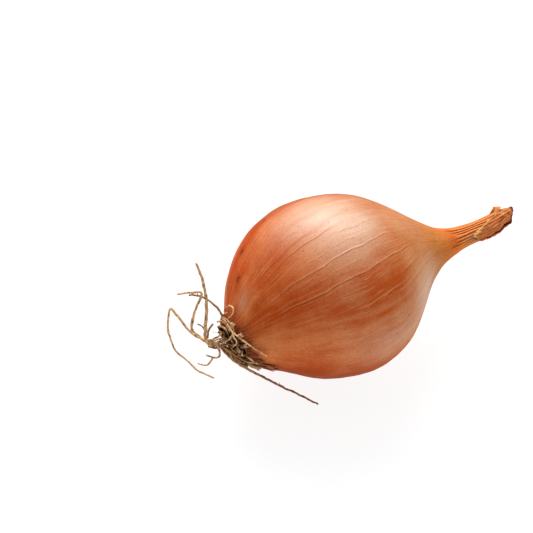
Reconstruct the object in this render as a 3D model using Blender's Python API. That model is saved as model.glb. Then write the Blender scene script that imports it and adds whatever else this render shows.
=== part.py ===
"""A shallot as lifted and dried, lying on its side: the bulb with its papery skin drawn out into a neck,
the withered leaf that stands out of the torn neck, and the root plate with its beard of dry roots.

+X runs along the bulb from the root end to the neck and +Z is up. The origin is the middle of the small flat
spot that the bulb rests on. Blender's metres are kept throughout; MM turns the dimensions into metres.
"""

import math
import random

import bmesh
import bpy
from mathutils import Vector

MM = 0.001

# The bulb's outline: millimetres along the axis from the widest ring, and the radius there.
OUTLINE = (
    (-30.0, 5.5), (-27.5, 7.6), (-22.5, 13.1), (-15.0, 19.1), (-7.5, 22.1), (0.0, 22.9), (7.5, 21.5),
    (12.5, 19.1), (17.5, 15.2), (21.0, 12.0), (25.0, 8.5), (30.0, 5.0), (35.0, 3.2), (40.0, 2.65),
    (46.0, 2.6),
)
# How far the axis wanders towards the bulb's back, in millimetres, along the way from root to tip.
SWAY = ((-32.0, -1.5), (-27.0, -1.6), (-22.0, 0.4), (-17.0, 1.6), (-10.0, 1.5), (4.0, 0.4), (20.0, 0.4),
        (27.0, -0.9), (30.5, -1.8), (34.0, -2.4), (38.0, -2.7), (43.0, -3.1), (47.0, -3.1), (50.5, -2.75),
        (54.0, -2.1))
ROLL = math.radians(36)  # the back of the bulb, where angle 0 is, stands this far above the horizontal
FLAT_DEPTH = 0.75 * MM  # what the resting spot takes off the round belly
AXIS_HEIGHT = OUTLINE[5][1] * MM - FLAT_DEPTH
ROOT_SLANT = math.tan(math.radians(10))  # the root end is cut across on a slant
LEAN_UNTIL = -14 * MM  # and the rings stand upright again from here on

# The skin
SIDES = 60
BELLY_UNEVEN = ((2, 0.010, 0.6), (3, 0.006, 2.1), (5, 0.004, 4.0))  # waves round the belly, share, turn
RIBS = 15  # long low ribs from root to neck
RIB_HEIGHT = 0.10 * MM
WRINKLES = 10  # deep folds round the dried neck
WRINKLE_HEIGHT = 0.30 * MM
WRINKLES_FROM = 27.0 * MM
SHEATH_WALL = 0.6 * MM
SHEATH_SHORT = 36.8 * MM  # where the torn sheath ends on its short side, and on its long side
SHEATH_LONG = 49.4 * MM
MOUTH_FLOOR = 34.3 * MM
MOUTH_STEPS = 8
CURL_AT = math.radians(8)  # the stub of sheath that curls out of the long side's end
CURL_WIDTH = math.radians(30)
CURL_HEIGHT = 1.5 * MM
FLAP_AT = math.radians(178)  # a shred of torn skin near the roots
FLAP_HEIGHT = 0.9 * MM

# The withered leaf: distance along the axis, half its height, half its thickness, and a shift, in millimetres
LEAF = (
    (35.0, 1.25, 1.20, 0.0), (37.5, 1.40, 1.35, -0.1), (40.0, 1.75, 1.50, -0.3), (42.5, 2.20, 1.60, -0.7),
    (45.0, 2.40, 1.70, -0.8), (48.0, 2.15, 1.60, -0.6), (50.0, 1.95, 1.45, -0.35), (52.0, 1.60, 1.20, -0.3),
    (53.6, 1.00, 0.90, -0.1),
)
LEAF_WALL = 0.6 * MM

# The root plate and its roots
GAP = 0.3 * MM  # between pieces that touch
DISH_RADIUS = 4.9 * MM
DISH_DEPTH = 1.2 * MM
ROOT_END = OUTLINE[0][0] * MM
PLATE = ((0.9, 4.6), (0.1, 4.75), (-0.7, 4.4), (-1.3, 3.4), (-1.7, 1.7))  # mm inside the rim, radius
BEARD_ROOTS = 40
BEARD_SEED = 11
BEARD_RADIUS = 0.30 * MM
STUB_ROOTS = 15
STUB_RADIUS = 0.45 * MM
ROOT_STEP = 1.2 * MM
CLEARANCE = 0.45 * MM
# The stray roots, each with its radius and its points in millimetres in the row frame
STRAYS = (
    ("upright", 0.32, (
        (-31.0, 1.0, 22.0), (-34.5, 0.5, 23.0), (-36.0, 1.5, 23.5), (-35.5, 3.0, 26.0), (-34.0, 5.0, 28.0),
        (-33.0, 6.5, 29.5), (-32.5, 7.5, 31.5), (-32.0, 9.0, 33.5), (-31.5, 11.0, 35.0), (-31.5, 13.5, 38.0),
    )),
    ("forked", 0.30, (
        (-31.0, 1.0, 23.0), (-35.5, 1.5, 24.0), (-37.5, 2.5, 25.0), (-38.5, 4.0, 26.5), (-37.5, 5.5, 28.5),
        (-35.0, 7.5, 30.0), (-33.0, 8.5, 32.5), (-35.0, 9.5, 33.0), (-38.5, 10.5, 33.5),
    )),
    ("looped", 0.32, (
        (-31.0, 0.5, 21.5), (-34.5, 0.0, 23.0), (-37.5, 2.0, 25.0), (-39.0, 3.5, 26.5), (-40.0, 5.5, 28.5),
        (-40.5, 7.5, 30.0), (-41.5, 9.0, 31.5), (-43.0, 7.5, 30.0), (-44.0, 6.0, 28.0), (-44.5, 4.5, 26.0),
        (-44.5, 2.5, 24.0), (-42.5, 0.0, 22.0), (-41.0, -2.5, 19.5), (-38.0, -5.0, 17.5),
    )),
    ("backward", 0.30, (
        (-31.0, 1.0, 23.5), (-33.5, 3.5, 26.5), (-33.5, 4.5, 29.5), (-34.0, 7.0, 31.0), (-36.0, 9.5, 32.5),
    )),
    ("low_curl", 0.28, (
        (-31.0, -2.5, 20.0), (-34.0, -1.5, 21.5), (-34.5, -2.5, 21.0), (-35.5, -2.5, 20.5),
        (-36.5, -2.0, 20.5), (-38.0, -2.5, 19.5), (-40.0, -1.5, 19.5),
    )),
    ("long_brown", 0.32, (
        (-30.5, -2.0, 20.0), (-32.5, -4.0, 20.5), (-31.0, -6.5, 19.0), (-29.0, -8.0, 17.0),
        (-25.5, -9.5, 13.0), (-22.0, -11.0, 9.0), (-19.0, -12.5, 6.0), (-14.5, -15.5, 1.5),
    )),
    ("over_skin", 0.28, (
        (-31.5, 1.0, 23.0), (-33.0, 0.5, 26.0), (-32.5, -2.5, 27.0), (-31.0, -5.5, 26.5), (-29.5, -8.0, 25.5),
        (-27.5, -10.5, 24.0),
    )),
    ("small_loop", 0.28, (
        (-31.5, 1.0, 23.5), (-33.0, 3.0, 28.0), (-32.5, 2.5, 30.5), (-32.0, 1.0, 31.0), (-32.5, -0.5, 29.5),
        (-33.5, 0.0, 28.0),
    )),
)


def smooth(points, x):
    """The value at x on a smooth curve through the points, straight beyond its ends."""
    last = len(points) - 1
    i = max(0, min(last - 1, sum(1 for p in points[1:] if p[0] <= x)))

    def slope(k):
        a, b = points[max(k - 1, 0)], points[min(k + 1, last)]
        return (b[1] - a[1]) / (b[0] - a[0])

    (x0, y0), (x1, y1) = points[i], points[i + 1]
    span = x1 - x0
    t = (x - x0) / span
    if not 0 <= t <= 1:
        end = i if t < 0 else i + 1
        return points[end][1] + slope(end) * (x - points[end][0])
    h = t * t * (3 - 2 * t)
    return y0 * (1 - h) + y1 * h + span * t * (1 - t) * ((1 - t) * slope(i) - t * slope(i + 1))


def ease(x, start, end):
    """0 before start, 1 after end, and smooth between them."""
    t = max(0.0, min(1.0, (x - start) / (end - start)))
    return t * t * (3 - 2 * t)


def around(angle):
    """The direction across the axis at this angle, where 0 is the bulb's back."""
    return Vector((0, math.cos(angle + ROLL), math.sin(angle + ROLL)))


def axis_point(x):
    """The middle of the bulb at this distance along it."""
    return Vector((x, 0, AXIS_HEIGHT)) + around(0) * smooth(SWAY, x / MM) * MM


def ring_point(x, angle, radius):
    """A point of the ring at x. The rings lean over more and more towards the slanted root end."""
    lean = ROOT_SLANT * (1 - ease(x, ROOT_END, LEAN_UNTIL))
    point = axis_point(x) + around(angle) * radius
    point.x -= radius * math.cos(angle) * lean
    return point


def skin_radius(x, angle):
    """The outside of the skin, with its unevenness, its ribs, the wrinkled neck and the torn shred."""
    base = smooth(OUTLINE, x / MM) * MM
    uneven = sum(share * math.cos(waves * angle + turn) for waves, share, turn in BELLY_UNEVEN)
    belly = ease(x, -28 * MM, -12 * MM) * (1 - ease(x, 14 * MM, 28 * MM))
    ribs = RIB_HEIGHT * abs(math.cos(RIBS * angle / 2 + 0.4 * math.sin(3 * angle))) * belly
    folds = WRINKLE_HEIGHT * math.sin(WRINKLES * angle + 1.3 * math.sin(2 * angle))
    neck = ease(x, WRINKLES_FROM, WRINKLES_FROM + 8 * MM) * (1 - 0.4 * ease(x, MOUTH_FLOOR, SHEATH_SHORT))
    off_flap = math.remainder(angle - FLAP_AT, math.tau)
    flap = FLAP_HEIGHT * max(0.0, 1 - abs(off_flap) / 0.22) * max(0.0, 1 - abs(x + 24.5 * MM) / (3.5 * MM))
    return base * (1 + uneven * belly) + ribs + folds * neck + flap


def mesh_object(name, points, faces, colour, roughness):
    """A smooth-shaded mesh object with a material of its own."""
    mesh = bpy.data.meshes.new(name)
    mesh.from_pydata(points, [], faces)
    mesh.shade_smooth()
    mesh.set_sharp_from_angle(angle=math.radians(40))
    material = bpy.data.materials.new(name)
    material.use_nodes = True
    shader = material.node_tree.nodes["Principled BSDF"]
    shader.inputs["Base Color"].default_value = (*colour, 1)
    shader.inputs["Roughness"].default_value = roughness
    shader.inputs["Metallic"].default_value = 0.0
    mesh.materials.append(material)
    made = bpy.data.objects.new(name, mesh)
    bpy.context.scene.collection.objects.link(made)
    return made


def loft(rings, first_tip, last_tip):
    """Points and faces of a closed body of rings, each end drawn to a point. The rings run along the body."""
    count = len(rings[0])
    points = [p for ring in rings for p in ring] + [first_tip, last_tip]
    faces = []
    for r in range(len(rings) - 1):
        for k in range(count):
            a, b = r * count + k, r * count + (k + 1) % count
            faces.append((a, b, b + count, a + count))
    first, last = len(points) - 2, len(points) - 1
    end = (len(rings) - 1) * count
    for k in range(count):
        faces.append((first, (k + 1) % count, k))
        faces.append((last, end + k, end + (k + 1) % count))
    return points, faces


def torn_edge(angle):
    """How far along the axis the torn sheath reaches at this angle, with small teeth."""
    long_side = (0.5 + 0.5 * math.cos(angle)) ** 1.2
    teeth = 0.5 * MM * math.sin(5 * angle + 0.7) * math.sin(8 * angle)
    return SHEATH_SHORT + (SHEATH_LONG - SHEATH_SHORT) * long_side + teeth


def curl(angle):
    """How far the end of the sheath curls out at this angle, in its one small stub."""
    return CURL_HEIGHT * max(0.0, 1 - (math.remainder(angle - CURL_AT, math.tau) / CURL_WIDTH) ** 2)


def build_bulb():
    """The bulb with its skin and neck: one closed body, dished at the root end and open at the torn neck."""
    angles = [math.tau * k / SIDES for k in range(SIDES)]
    rings = []
    for inside, radius in ((DISH_DEPTH, 0.5 * DISH_RADIUS), (DISH_DEPTH, DISH_RADIUS), (0.0, DISH_RADIUS)):
        rings.append([ring_point(ROOT_END + inside, a, radius) for a in angles])
    lip = 0.5 * (DISH_RADIUS + smooth(OUTLINE, ROOT_END / MM) * MM)
    rings.append([ring_point(ROOT_END - 0.2 * MM, a, lip) for a in angles])
    steps = 46
    for k in range(steps):
        share = k / (steps - 1)
        x = ROOT_END + (MOUTH_FLOOR - ROOT_END) * (share - 0.055 * math.sin(math.tau * share))
        rings.append([ring_point(x, a, skin_radius(x, a)) for a in angles])
    outer = []
    for k in range(1, MOUTH_STEPS + 1):
        share = k / MOUTH_STEPS
        xs = [MOUTH_FLOOR + (torn_edge(a) - MOUTH_FLOOR) * share for a in angles]
        outer.append([(x, a, skin_radius(x, a) + curl(a) * share ** 3) for x, a in zip(xs, angles)])
    rings += [[ring_point(*p) for p in ring] for ring in outer]
    for ring in reversed(outer):
        rings.append([ring_point(x - 0.1 * MM, a, radius - SHEATH_WALL) for x, a, radius in ring])
    floor = [(MOUTH_FLOOR, a, 0.8 * (skin_radius(MOUTH_FLOOR, a) - SHEATH_WALL)) for a in angles]
    rings.append([ring_point(*p) for p in floor])
    first = ring_point(ROOT_END + DISH_DEPTH, 0, 0)
    bulb = mesh_object("bulb", *loft(rings, first, axis_point(MOUTH_FLOOR)), (0.50, 0.17, 0.05), 0.40)
    rest_flat(bulb.data)


def rest_flat(mesh):
    """Cuts the belly off at the ground and closes the cut with one flat face."""
    body = bmesh.new()
    body.from_mesh(mesh)
    everything = body.verts[:] + body.edges[:] + body.faces[:]
    cut = bmesh.ops.bisect_plane(body, geom=everything, dist=1e-7, plane_co=(0, 0, 0), plane_no=(0, 0, 1),
                                 clear_inner=True)
    rim = [e for e in cut["geom_cut"] if isinstance(e, bmesh.types.BMEdge)]
    bmesh.ops.contextual_create(body, geom=rim)
    bmesh.ops.recalc_face_normals(body, faces=body.faces[:])
    body.to_mesh(mesh)
    body.free()


def build_leaf():
    """The withered leaf: a folded blade, open along its lower side, standing out of the torn neck."""
    bends = [math.radians(d) for d in range(-150, 151, 30)]  # round the fold, from one lip to the other
    rings = []
    for x, high, thick, shift in LEAF:
        centre = axis_point(x * MM) + around(0) * shift * MM
        up, side = around(0), around(math.pi / 2)

        def edge(bend, wall):
            lift = (high * MM - wall) * math.cos(bend)
            return centre + up * lift + side * max(thick * MM - wall, 0.12 * MM) * math.sin(bend)

        rings.append([edge(b, 0.0) for b in bends] + [edge(b, LEAF_WALL) for b in reversed(bends)])
    count = len(rings[0])
    points = [p for ring in rings for p in ring]
    faces = []
    for r in range(len(rings) - 1):
        for k in range(count):
            a, b = r * count + k, r * count + (k + 1) % count
            faces.append((a, b, b + count, a + count))
    half = count // 2
    for end, turned in ((0, True), (len(rings) - 1, False)):
        for k in range(half - 1):
            strip = [end * count + i for i in (k, k + 1, count - 2 - k, count - 1 - k)]
            faces.append(strip[::-1] if turned else strip)
    leaf = mesh_object("withered_leaf", points, faces, (0.30, 0.11, 0.04), 0.65)
    turn_out(leaf.data)


def turn_out(mesh):
    """Makes every face of a closed mesh point outwards."""
    body = bmesh.new()
    body.from_mesh(mesh)
    bmesh.ops.recalc_face_normals(body, faces=body.faces[:])
    body.to_mesh(mesh)
    body.free()


def near_bulb(point):
    """How far along the leaning rings a point lies, how far off the axis, and at which angle."""
    middle = axis_point(point.x)
    off = point - middle
    off.x = 0
    angle = math.atan2(off.dot(around(math.pi / 2)), off.dot(around(0)))
    lean = ROOT_SLANT * (1 - ease(point.x, ROOT_END, LEAN_UNTIL))
    return point.x + off.length * math.cos(angle) * lean, off.length, angle


def touches_bulb(point, margin):
    """Whether a point is inside the bulb, or nearer to its skin than the margin."""
    along, off, angle = near_bulb(point)
    if along < ROOT_END - margin or off < DISH_RADIUS - margin and along < ROOT_END + GAP:
        return False
    return off < skin_radius(max(along, ROOT_END), angle) + margin


def route_is_clear(route, margin):
    """Whether a root keeps off the bulb and the ground all the way along."""
    for a, b in zip(route, route[1:]):
        for share in (0.2, 0.4, 0.6, 0.8, 1.0):
            point = a.lerp(b, share)
            if point.z < margin or touches_bulb(point, margin):
                return False
    return True


def root_tube(name, route, radius, sides):
    """A closed tapering tube along the route."""
    rings = []
    across = Vector((0, 0, 1))
    last = len(route) - 1
    for k, centre in enumerate(route):
        along = (route[min(k + 1, last)] - route[max(k - 1, 0)]).normalized()
        across = (across - along * across.dot(along)).normalized()
        other = along.cross(across)
        size = radius * (1 - 0.45 * (k / last) ** 2)
        rings.append([centre + (across * math.cos(t) + other * math.sin(t)) * size
                      for t in (math.tau * s / sides for s in range(sides))])
    lead = (route[1] - route[0]).normalized() * radius
    tail = (route[-1] - route[-2]).normalized() * radius
    return mesh_object(name, *loft(rings, route[0] - lead, route[-1] + tail), (0.45, 0.32, 0.17), 0.8)


def plate_point(radius, angle, outward):
    """A point of the root plate's face, this far out from the middle and along the plate's normal."""
    return ring_point(ROOT_END - outward, angle, radius)


def plate_normal():
    """The way the root plate faces."""
    return -(Vector((1, 0, 0)) + around(0) * ROOT_SLANT).normalized()


def beard_route(rng, radius, angle):
    """One root of the beard, out of the plate, then hanging and wandering, drawn again until it is clear."""
    while True:
        point = plate_point(radius, angle, 0.2 * MM)
        way = (plate_normal() + around(angle) * (0.1 + 0.7 * radius / DISH_RADIUS)).normalized()
        route = [point]
        for _ in range(rng.randint(3, 7)):
            point = point + way * ROOT_STEP
            route.append(point)
            wander = Vector((rng.gauss(0, 1), rng.gauss(0, 1), rng.gauss(0, 1))) * 0.45
            way = (way + wander + Vector((0.08, -0.12, -0.22))).normalized()
        if route_is_clear(route[1:], CLEARANCE + BEARD_RADIUS):
            return route


def build_roots():
    """The root plate with its beard, its cut stubs and its stray roots, joined into one body."""
    rng = random.Random(BEARD_SEED)
    angles = [math.tau * k / 24 for k in range(24)]
    rings = [[ring_point(ROOT_END + inside * MM, a, radius * MM) for a in angles] for inside, radius in PLATE]
    points, faces = loft(rings, ring_point(ROOT_END + PLATE[0][0] * MM, 0, 0),
                         ring_point(ROOT_END + (PLATE[-1][0] - 0.1) * MM, 0, 0))
    plate = mesh_object("root_tuft", points, faces, (0.40, 0.28, 0.15), 0.85)
    turn_out(plate.data)
    repeats = bpy.data.collections.new("roots")
    bpy.context.scene.collection.children.link(repeats)
    tubes = []
    golden = math.pi * (3 - math.sqrt(5))
    for k in range(BEARD_ROOTS):
        radius = 0.86 * DISH_RADIUS * math.sqrt((k + 0.5) / BEARD_ROOTS)
        route = beard_route(rng, radius, k * golden)
        tubes.append(root_tube(f"beard_{k}", route, BEARD_RADIUS * rng.uniform(0.8, 1.1), 4))
    for k in range(STUB_ROOTS):
        angle = math.tau * (k + rng.uniform(-0.3, 0.3)) / STUB_ROOTS
        foot = plate_point(0.84 * DISH_RADIUS, angle, 0.0)
        way = (plate_normal() + around(angle) * 0.5).normalized()
        route = [foot, foot + way * 1.2 * MM, foot + way * rng.uniform(1.9, 2.6) * MM]
        tubes.append(root_tube(f"stub_{k}", route, STUB_RADIUS, 5))
    for name, radius, points in STRAYS:
        route = [Vector(p) * MM for p in points]
        tubes.append(root_tube(name, route, radius * MM, 5))
    for tube in tubes:
        turn_out(tube.data)
        bpy.context.scene.collection.objects.unlink(tube)
        repeats.objects.link(tube)
    join(plate, repeats)


def join(base, repeats):
    """Unites the collection's objects with the base, applies the union and removes them."""
    union = base.modifiers.new("union", "BOOLEAN")
    union.operation = "UNION"
    union.solver = "MANIFOLD"
    union.operand_type = "COLLECTION"
    union.collection = repeats
    bpy.context.view_layer.update()
    united = bpy.data.meshes.new_from_object(base.evaluated_get(bpy.context.evaluated_depsgraph_get()))
    base.modifiers.remove(union)
    base.data = united
    for tube in list(repeats.objects):
        bpy.data.objects.remove(tube)
    bpy.data.collections.remove(repeats)


def main():
    for old in list(bpy.data.objects):
        bpy.data.objects.remove(old)
    build_bulb()
    build_leaf()
    build_roots()


main()
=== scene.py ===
# %% [markdown]
# # A shallot, from its packed solids to a finished picture
#
# A shallot is one bulb in a thin papery skin. The skin is drawn out at one end into a dried neck, torn open
# where a withered leaf stands out of it. At the other end is a corky plate with a mat of dry roots. The solids
# that this script loads have the right size and the right main forms, and this script gives them their surface.
#
# Every length below is in millimetres until it is put into Blender, whose metres are kept.

# %% Load the solids
import math
import random

import bpy
import numpy as np
from mathutils import Matrix, Vector


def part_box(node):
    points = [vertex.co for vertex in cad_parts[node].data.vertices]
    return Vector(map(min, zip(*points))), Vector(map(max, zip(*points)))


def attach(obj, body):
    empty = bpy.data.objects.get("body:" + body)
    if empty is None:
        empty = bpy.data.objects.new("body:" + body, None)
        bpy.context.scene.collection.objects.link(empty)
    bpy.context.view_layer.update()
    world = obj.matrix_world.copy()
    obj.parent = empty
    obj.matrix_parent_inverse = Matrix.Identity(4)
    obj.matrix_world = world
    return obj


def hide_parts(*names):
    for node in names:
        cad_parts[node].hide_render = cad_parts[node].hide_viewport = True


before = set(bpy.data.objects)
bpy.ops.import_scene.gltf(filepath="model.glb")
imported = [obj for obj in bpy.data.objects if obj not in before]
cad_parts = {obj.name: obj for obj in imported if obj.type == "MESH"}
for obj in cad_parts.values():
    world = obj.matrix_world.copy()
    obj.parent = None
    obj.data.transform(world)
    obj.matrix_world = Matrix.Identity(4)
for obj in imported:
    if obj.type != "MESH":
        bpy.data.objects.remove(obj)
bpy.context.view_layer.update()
MM = 0.001
bulb_low, bulb_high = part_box("bulb")

# %% [markdown]
# ## The stage
#
# The camera comes first, because every later choice is judged through it. It looks down on the shallot from
# the root end's side through a long lens, so that the near root end isn't blown up against the neck. It is
# placed by an angle round the bulb and a height above the horizon, which are easier to think in than x, y
# and z. Goods for a shop are shown on white, so the floor and the surroundings are white too.

# %% Camera
AZIMUTH, ELEVATION = math.radians(-32), math.radians(50)
LENS, DISTANCE = 135, 494
FRAMED_RIGHT, FRAMED_LOW = 16.94, 4.82  # how far right of the picture's middle, and below it, the bulb sits

middle = Vector((0, 0, bulb_high.z / 2)) / MM
back = Vector((math.sin(AZIMUTH) * math.cos(ELEVATION), -math.cos(AZIMUTH) * math.cos(ELEVATION),
               math.sin(ELEVATION)))
right = Vector((math.cos(AZIMUTH), math.sin(AZIMUTH), 0))
up = back.cross(right)
eye = middle - right * FRAMED_RIGHT + up * FRAMED_LOW + back * DISTANCE

bpy.ops.object.camera_add(location=eye * MM)
camera = bpy.context.object
camera.rotation_euler = Matrix((right, up, back)).transposed().to_euler()
camera.data.lens = LENS
camera.data.clip_start = 0.01
bpy.context.scene.camera = camera
print("camera at", [round(v) for v in eye], "mm")

# %% [markdown]
# ### Floor, surroundings and lights
#
# The floor is a plain plane that glows a little, like a light table, because a floor lit only by lamps
# would be grey. The surroundings are white too, and brighter on the side where the main lamp is. Two square
# soft lamps, as in a studio, give the skin its broad soft shine.

# %% Floor and surroundings
FLOOR_GLOW = 0.88
SKY_DIM, SKY_BRIGHT = 0.20, 0.66  # the strength of the surroundings away from the main lamp, and towards it
scene = bpy.context.scene
scene.view_settings.view_transform = "Standard"

bpy.ops.mesh.primitive_plane_add(size=6, location=(0, 0, -0.00002))
floor = bpy.context.object
floor.name = "floor"
white = bpy.data.materials.new("light table")
white.use_nodes = True
for socket, value in (("Base Color", (0.16, 0.16, 0.16, 1)), ("Roughness", 0.9),
                      ("Emission Color", (1, 1, 1, 1)), ("Emission Strength", FLOOR_GLOW)):
    white.node_tree.nodes["Principled BSDF"].inputs[socket].default_value = value
floor.data.materials.append(white)

scene.world = bpy.data.worlds.new("studio")
scene.world.use_nodes = True
studio = scene.world.node_tree
facing = studio.nodes.new("ShaderNodeVectorMath")
facing.operation = "DOT_PRODUCT"
studio.links.new(studio.nodes.new("ShaderNodeTexCoord").outputs["Generated"], facing.inputs[0])
facing.inputs[1].default_value = (up * 0.8 + right * 0.5).normalized()
sky = studio.nodes.new("ShaderNodeMapRange")
for socket, value in zip(sky.inputs[1:5], (-0.9, 0.9, SKY_DIM, SKY_BRIGHT)):
    socket.default_value = value
studio.links.new(facing.outputs["Value"], sky.inputs[0])
studio.links.new(sky.outputs[0], studio.nodes["Background"].inputs["Strength"])
studio.nodes["Background"].inputs["Color"].default_value = (1, 1, 1, 1)
print("floor and surroundings:", floor.name, "/", scene.world.name)

# %% Lights
def softbox(name, place, size, watts):
    """A square soft light at this place, in millimetres, turned to the bulb."""
    bpy.ops.object.light_add(type="AREA", location=Vector(place) * MM)
    light = bpy.context.object
    light.name = name
    light.data.size = size * MM
    light.data.energy = watts
    light.rotation_euler = (light.location - middle * MM).to_track_quat("Z", "Y").to_euler()
    return light


softbox("key", middle + (up * 445 + back * 55 - right * 30), 320, 2.27)
softbox("side", middle + (right * 480 + back * 120 - up * 60), 220, 0.3)

# %% [markdown]
# ## Places on the bulb
#
# Everything that grows on the bulb is placed by two numbers: how far it is along the bulb, and the angle round
# it. Angle 0 is the bulb's back, away from the camera and upwards, 90 degrees faces the camera and 180 is its
# lower side. The same outline and the same slight bend as in the solids turn those two numbers into a place.
# The outline has only the few radii that it needs, and a smooth curve runs through them.

# %% The bulb's outline and bend
# Distance along the bulb and radius there.
OUTLINE = (
    (-30.0, 5.5), (-27.5, 7.6), (-22.5, 13.1), (-15.0, 19.1), (-7.5, 22.1), (0.0, 22.9), (7.5, 21.5),
    (12.5, 19.1), (17.5, 15.2), (21.0, 12.0), (25.0, 8.5), (30.0, 5.0), (35.0, 3.2), (40.0, 2.65),
    (46.0, 2.6),
)
# Distance along the bulb, and how far its middle line bends off the straight axis there, towards its back.
SWAY = ((-32.0, -1.5), (-27.0, -1.6), (-22.0, 0.4), (-17.0, 1.6), (-10.0, 1.5), (4.0, 0.4), (20.0, 0.4),
        (27.0, -0.9), (30.5, -1.8), (34.0, -2.4), (38.0, -2.7), (43.0, -3.1), (47.0, -3.1), (50.5, -2.75),
        (54.0, -2.1))
BELLY_RADIUS = OUTLINE[5][1]
FLAT_DEPTH = 0.75  # how deep the small flat is that the bulb rests on
AXIS_HEIGHT = BELLY_RADIUS - FLAT_DEPTH
ROLL = math.radians(36)  # how far the bulb is rolled about its long axis
ROOT_END = OUTLINE[0][0]
ROOT_SLANT, LEAN_UNTIL = math.tan(math.radians(10)), -14.0  # the root end slants, and the belly doesn't
print("outline from", ROOT_END, "to", OUTLINE[-1][0], "mm along, axis", AXIS_HEIGHT, "mm above the floor")

# %% From a distance and an angle to a place
def smooth(points, at):
    """Values on a smooth curve through the points, straight beyond its ends."""
    xs, ys = np.array(points, float).T
    at = np.asarray(at, float)
    before, after = np.maximum(np.arange(len(xs)) - 1, 0), np.minimum(np.arange(len(xs)) + 1, len(xs) - 1)
    slopes = (ys[after] - ys[before]) / (xs[after] - xs[before])
    i = np.clip(np.searchsorted(xs, at, side="right") - 1, 0, len(xs) - 2)
    span = xs[i + 1] - xs[i]
    t = np.clip((at - xs[i]) / span, 0, 1)
    h = t * t * (3 - 2 * t)
    value = ys[i] * (1 - h) + ys[i + 1] * h
    value += span * t * (1 - t) * ((1 - t) * slopes[i] - t * slopes[i + 1])
    return value + slopes[0] * np.minimum(at - xs[0], 0) + slopes[-1] * np.maximum(at - xs[-1], 0)


def ease(x, start, end):
    """0 before start, 1 after end, and smooth between them."""
    t = np.clip((np.asarray(x, float) - start) / (end - start), 0, 1)
    return t * t * (3 - 2 * t)


def place(x, angle, radius):
    """The points at these distances along the bulb, angles round it and radii, as rows of x, y and z."""
    x, angle, radius = np.broadcast_arrays(np.asarray(x, float), angle, radius)
    sway = smooth(SWAY, x)
    lean = ROOT_SLANT * (1 - ease(x, ROOT_END, LEAN_UNTIL))
    return np.stack([x - radius * np.cos(angle) * lean,
                     sway * math.cos(ROLL) + radius * np.cos(angle + ROLL),
                     AXIS_HEIGHT + sway * math.sin(ROLL) + radius * np.sin(angle + ROLL)], -1)


def belly_radius(x, angle):
    """The bulb's radius with its slight unevenness, before any vein or wrinkle."""
    belly = ease(x, -28, -12) * (1 - ease(x, 14, 28))
    uneven = 0.010 * np.cos(2 * angle + 0.6) + 0.006 * np.cos(3 * angle + 2.1) + 0.004 * np.cos(5 * angle + 4)
    return smooth(OUTLINE, x) * (1 + uneven * belly) + 0.012 * belly


print("belly radius", round(float(belly_radius(0.0, 1.57)), 2), "mm")

# %% [markdown]
# ## The papery skin
#
# The skin, the neck and its torn sheath grew as one, so they are one mesh. It could be sculpted from a ball,
# but a bulb is almost turned on a lathe: its outline is drawn point by point with extrude, and the Screw
# modifier turns it round the long axis. Each outline point carries its number through the lathe, so that
# afterwards every vertex knows how far along the bulb it is, and its angle tells the rest.

# %% The outline, drawn with extrude
AROUND = 576  # columns of faces round the bulb
MOUTH_FLOOR = 34.3  # how deep the torn neck is open
SHEATH_MIDDLE = 45.0  # where the sheath's rings are drawn, before they are stretched to the tear
SHEATH_RADIUS, LINING_RADIUS = 2.7, 2.4  # only while it is turned
SHEATH_WALL = 0.16
SKIN_RINGS, SHEATH_RINGS, LINING_RINGS = 106, 50, 8

DISH, SKIN, SHEATH, LINING = range(4)
# Each ring: distance along the bulb, radius, which part it is of, and its share of the way up the sheath.
rings = [(ROOT_END + 1.2, 0.0, DISH, 0), (ROOT_END + 1.2, 2.5, DISH, 0), (ROOT_END + 1.2, 4.6, DISH, 0),
         (ROOT_END + 0.3, 4.9, DISH, 0), (ROOT_END - 0.1, 5.15, DISH, 0)]
for k in range(SKIN_RINGS):
    share = k / (SKIN_RINGS - 1)
    x = ROOT_END + (MOUTH_FLOOR - ROOT_END) * (share - 0.05 * math.sin(math.tau * share))
    rings.append((x, float(smooth(OUTLINE, x)), SKIN, 0))
for k in range(1, SHEATH_RINGS + 1):
    share = 1 - (1 - k / SHEATH_RINGS) ** 1.25
    rings.append((MOUTH_FLOOR + (SHEATH_MIDDLE - MOUTH_FLOOR) * share, SHEATH_RADIUS, SHEATH, share))
for k in range(LINING_RINGS + 1):
    share = 1 - k / LINING_RINGS
    rings.append((MOUTH_FLOOR + (SHEATH_MIDDLE - MOUTH_FLOOR) * share, LINING_RADIUS, LINING, share))
rings.append((MOUTH_FLOOR, 0.0, LINING, 0))


def deselect():
    """Nothing selected and nothing active, so that the next operator acts on its own object alone."""
    if bpy.context.object and bpy.context.object.mode != "OBJECT":
        bpy.ops.object.mode_set(mode="OBJECT")
    bpy.ops.object.select_all(action="DESELECT")


def select_only(*pieces):
    """These pieces selected and the first of them active."""
    deselect()
    for piece in pieces:
        piece.select_set(True)
    bpy.context.view_layer.objects.active = pieces[0]


def draw_outline(name, points):
    """A string of edges through the points, drawn by extruding one vertex again and again."""
    deselect()
    bpy.ops.mesh.primitive_plane_add(size=MM)
    drawn = bpy.context.object
    drawn.name = name
    bpy.ops.object.mode_set(mode="EDIT")
    bpy.ops.mesh.merge(type="CENTER")
    bpy.ops.transform.translate(value=Vector(points[0]) * MM)
    for here, there in zip(points, points[1:]):
        step = (Vector(there) - Vector(here)) * MM
        bpy.ops.mesh.extrude_region_move(TRANSFORM_OT_translate={"value": step})
    bpy.ops.object.mode_set(mode="OBJECT")
    return drawn


skin = draw_outline("papery_skin", [(x, 0, radius) for x, radius, _, _ in rings])
number = skin.data.attributes.new("ring", "FLOAT", "POINT")
number.data.foreach_set("value", np.arange(len(rings), dtype=np.float32))
print(len(rings), "points in the outline")

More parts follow.
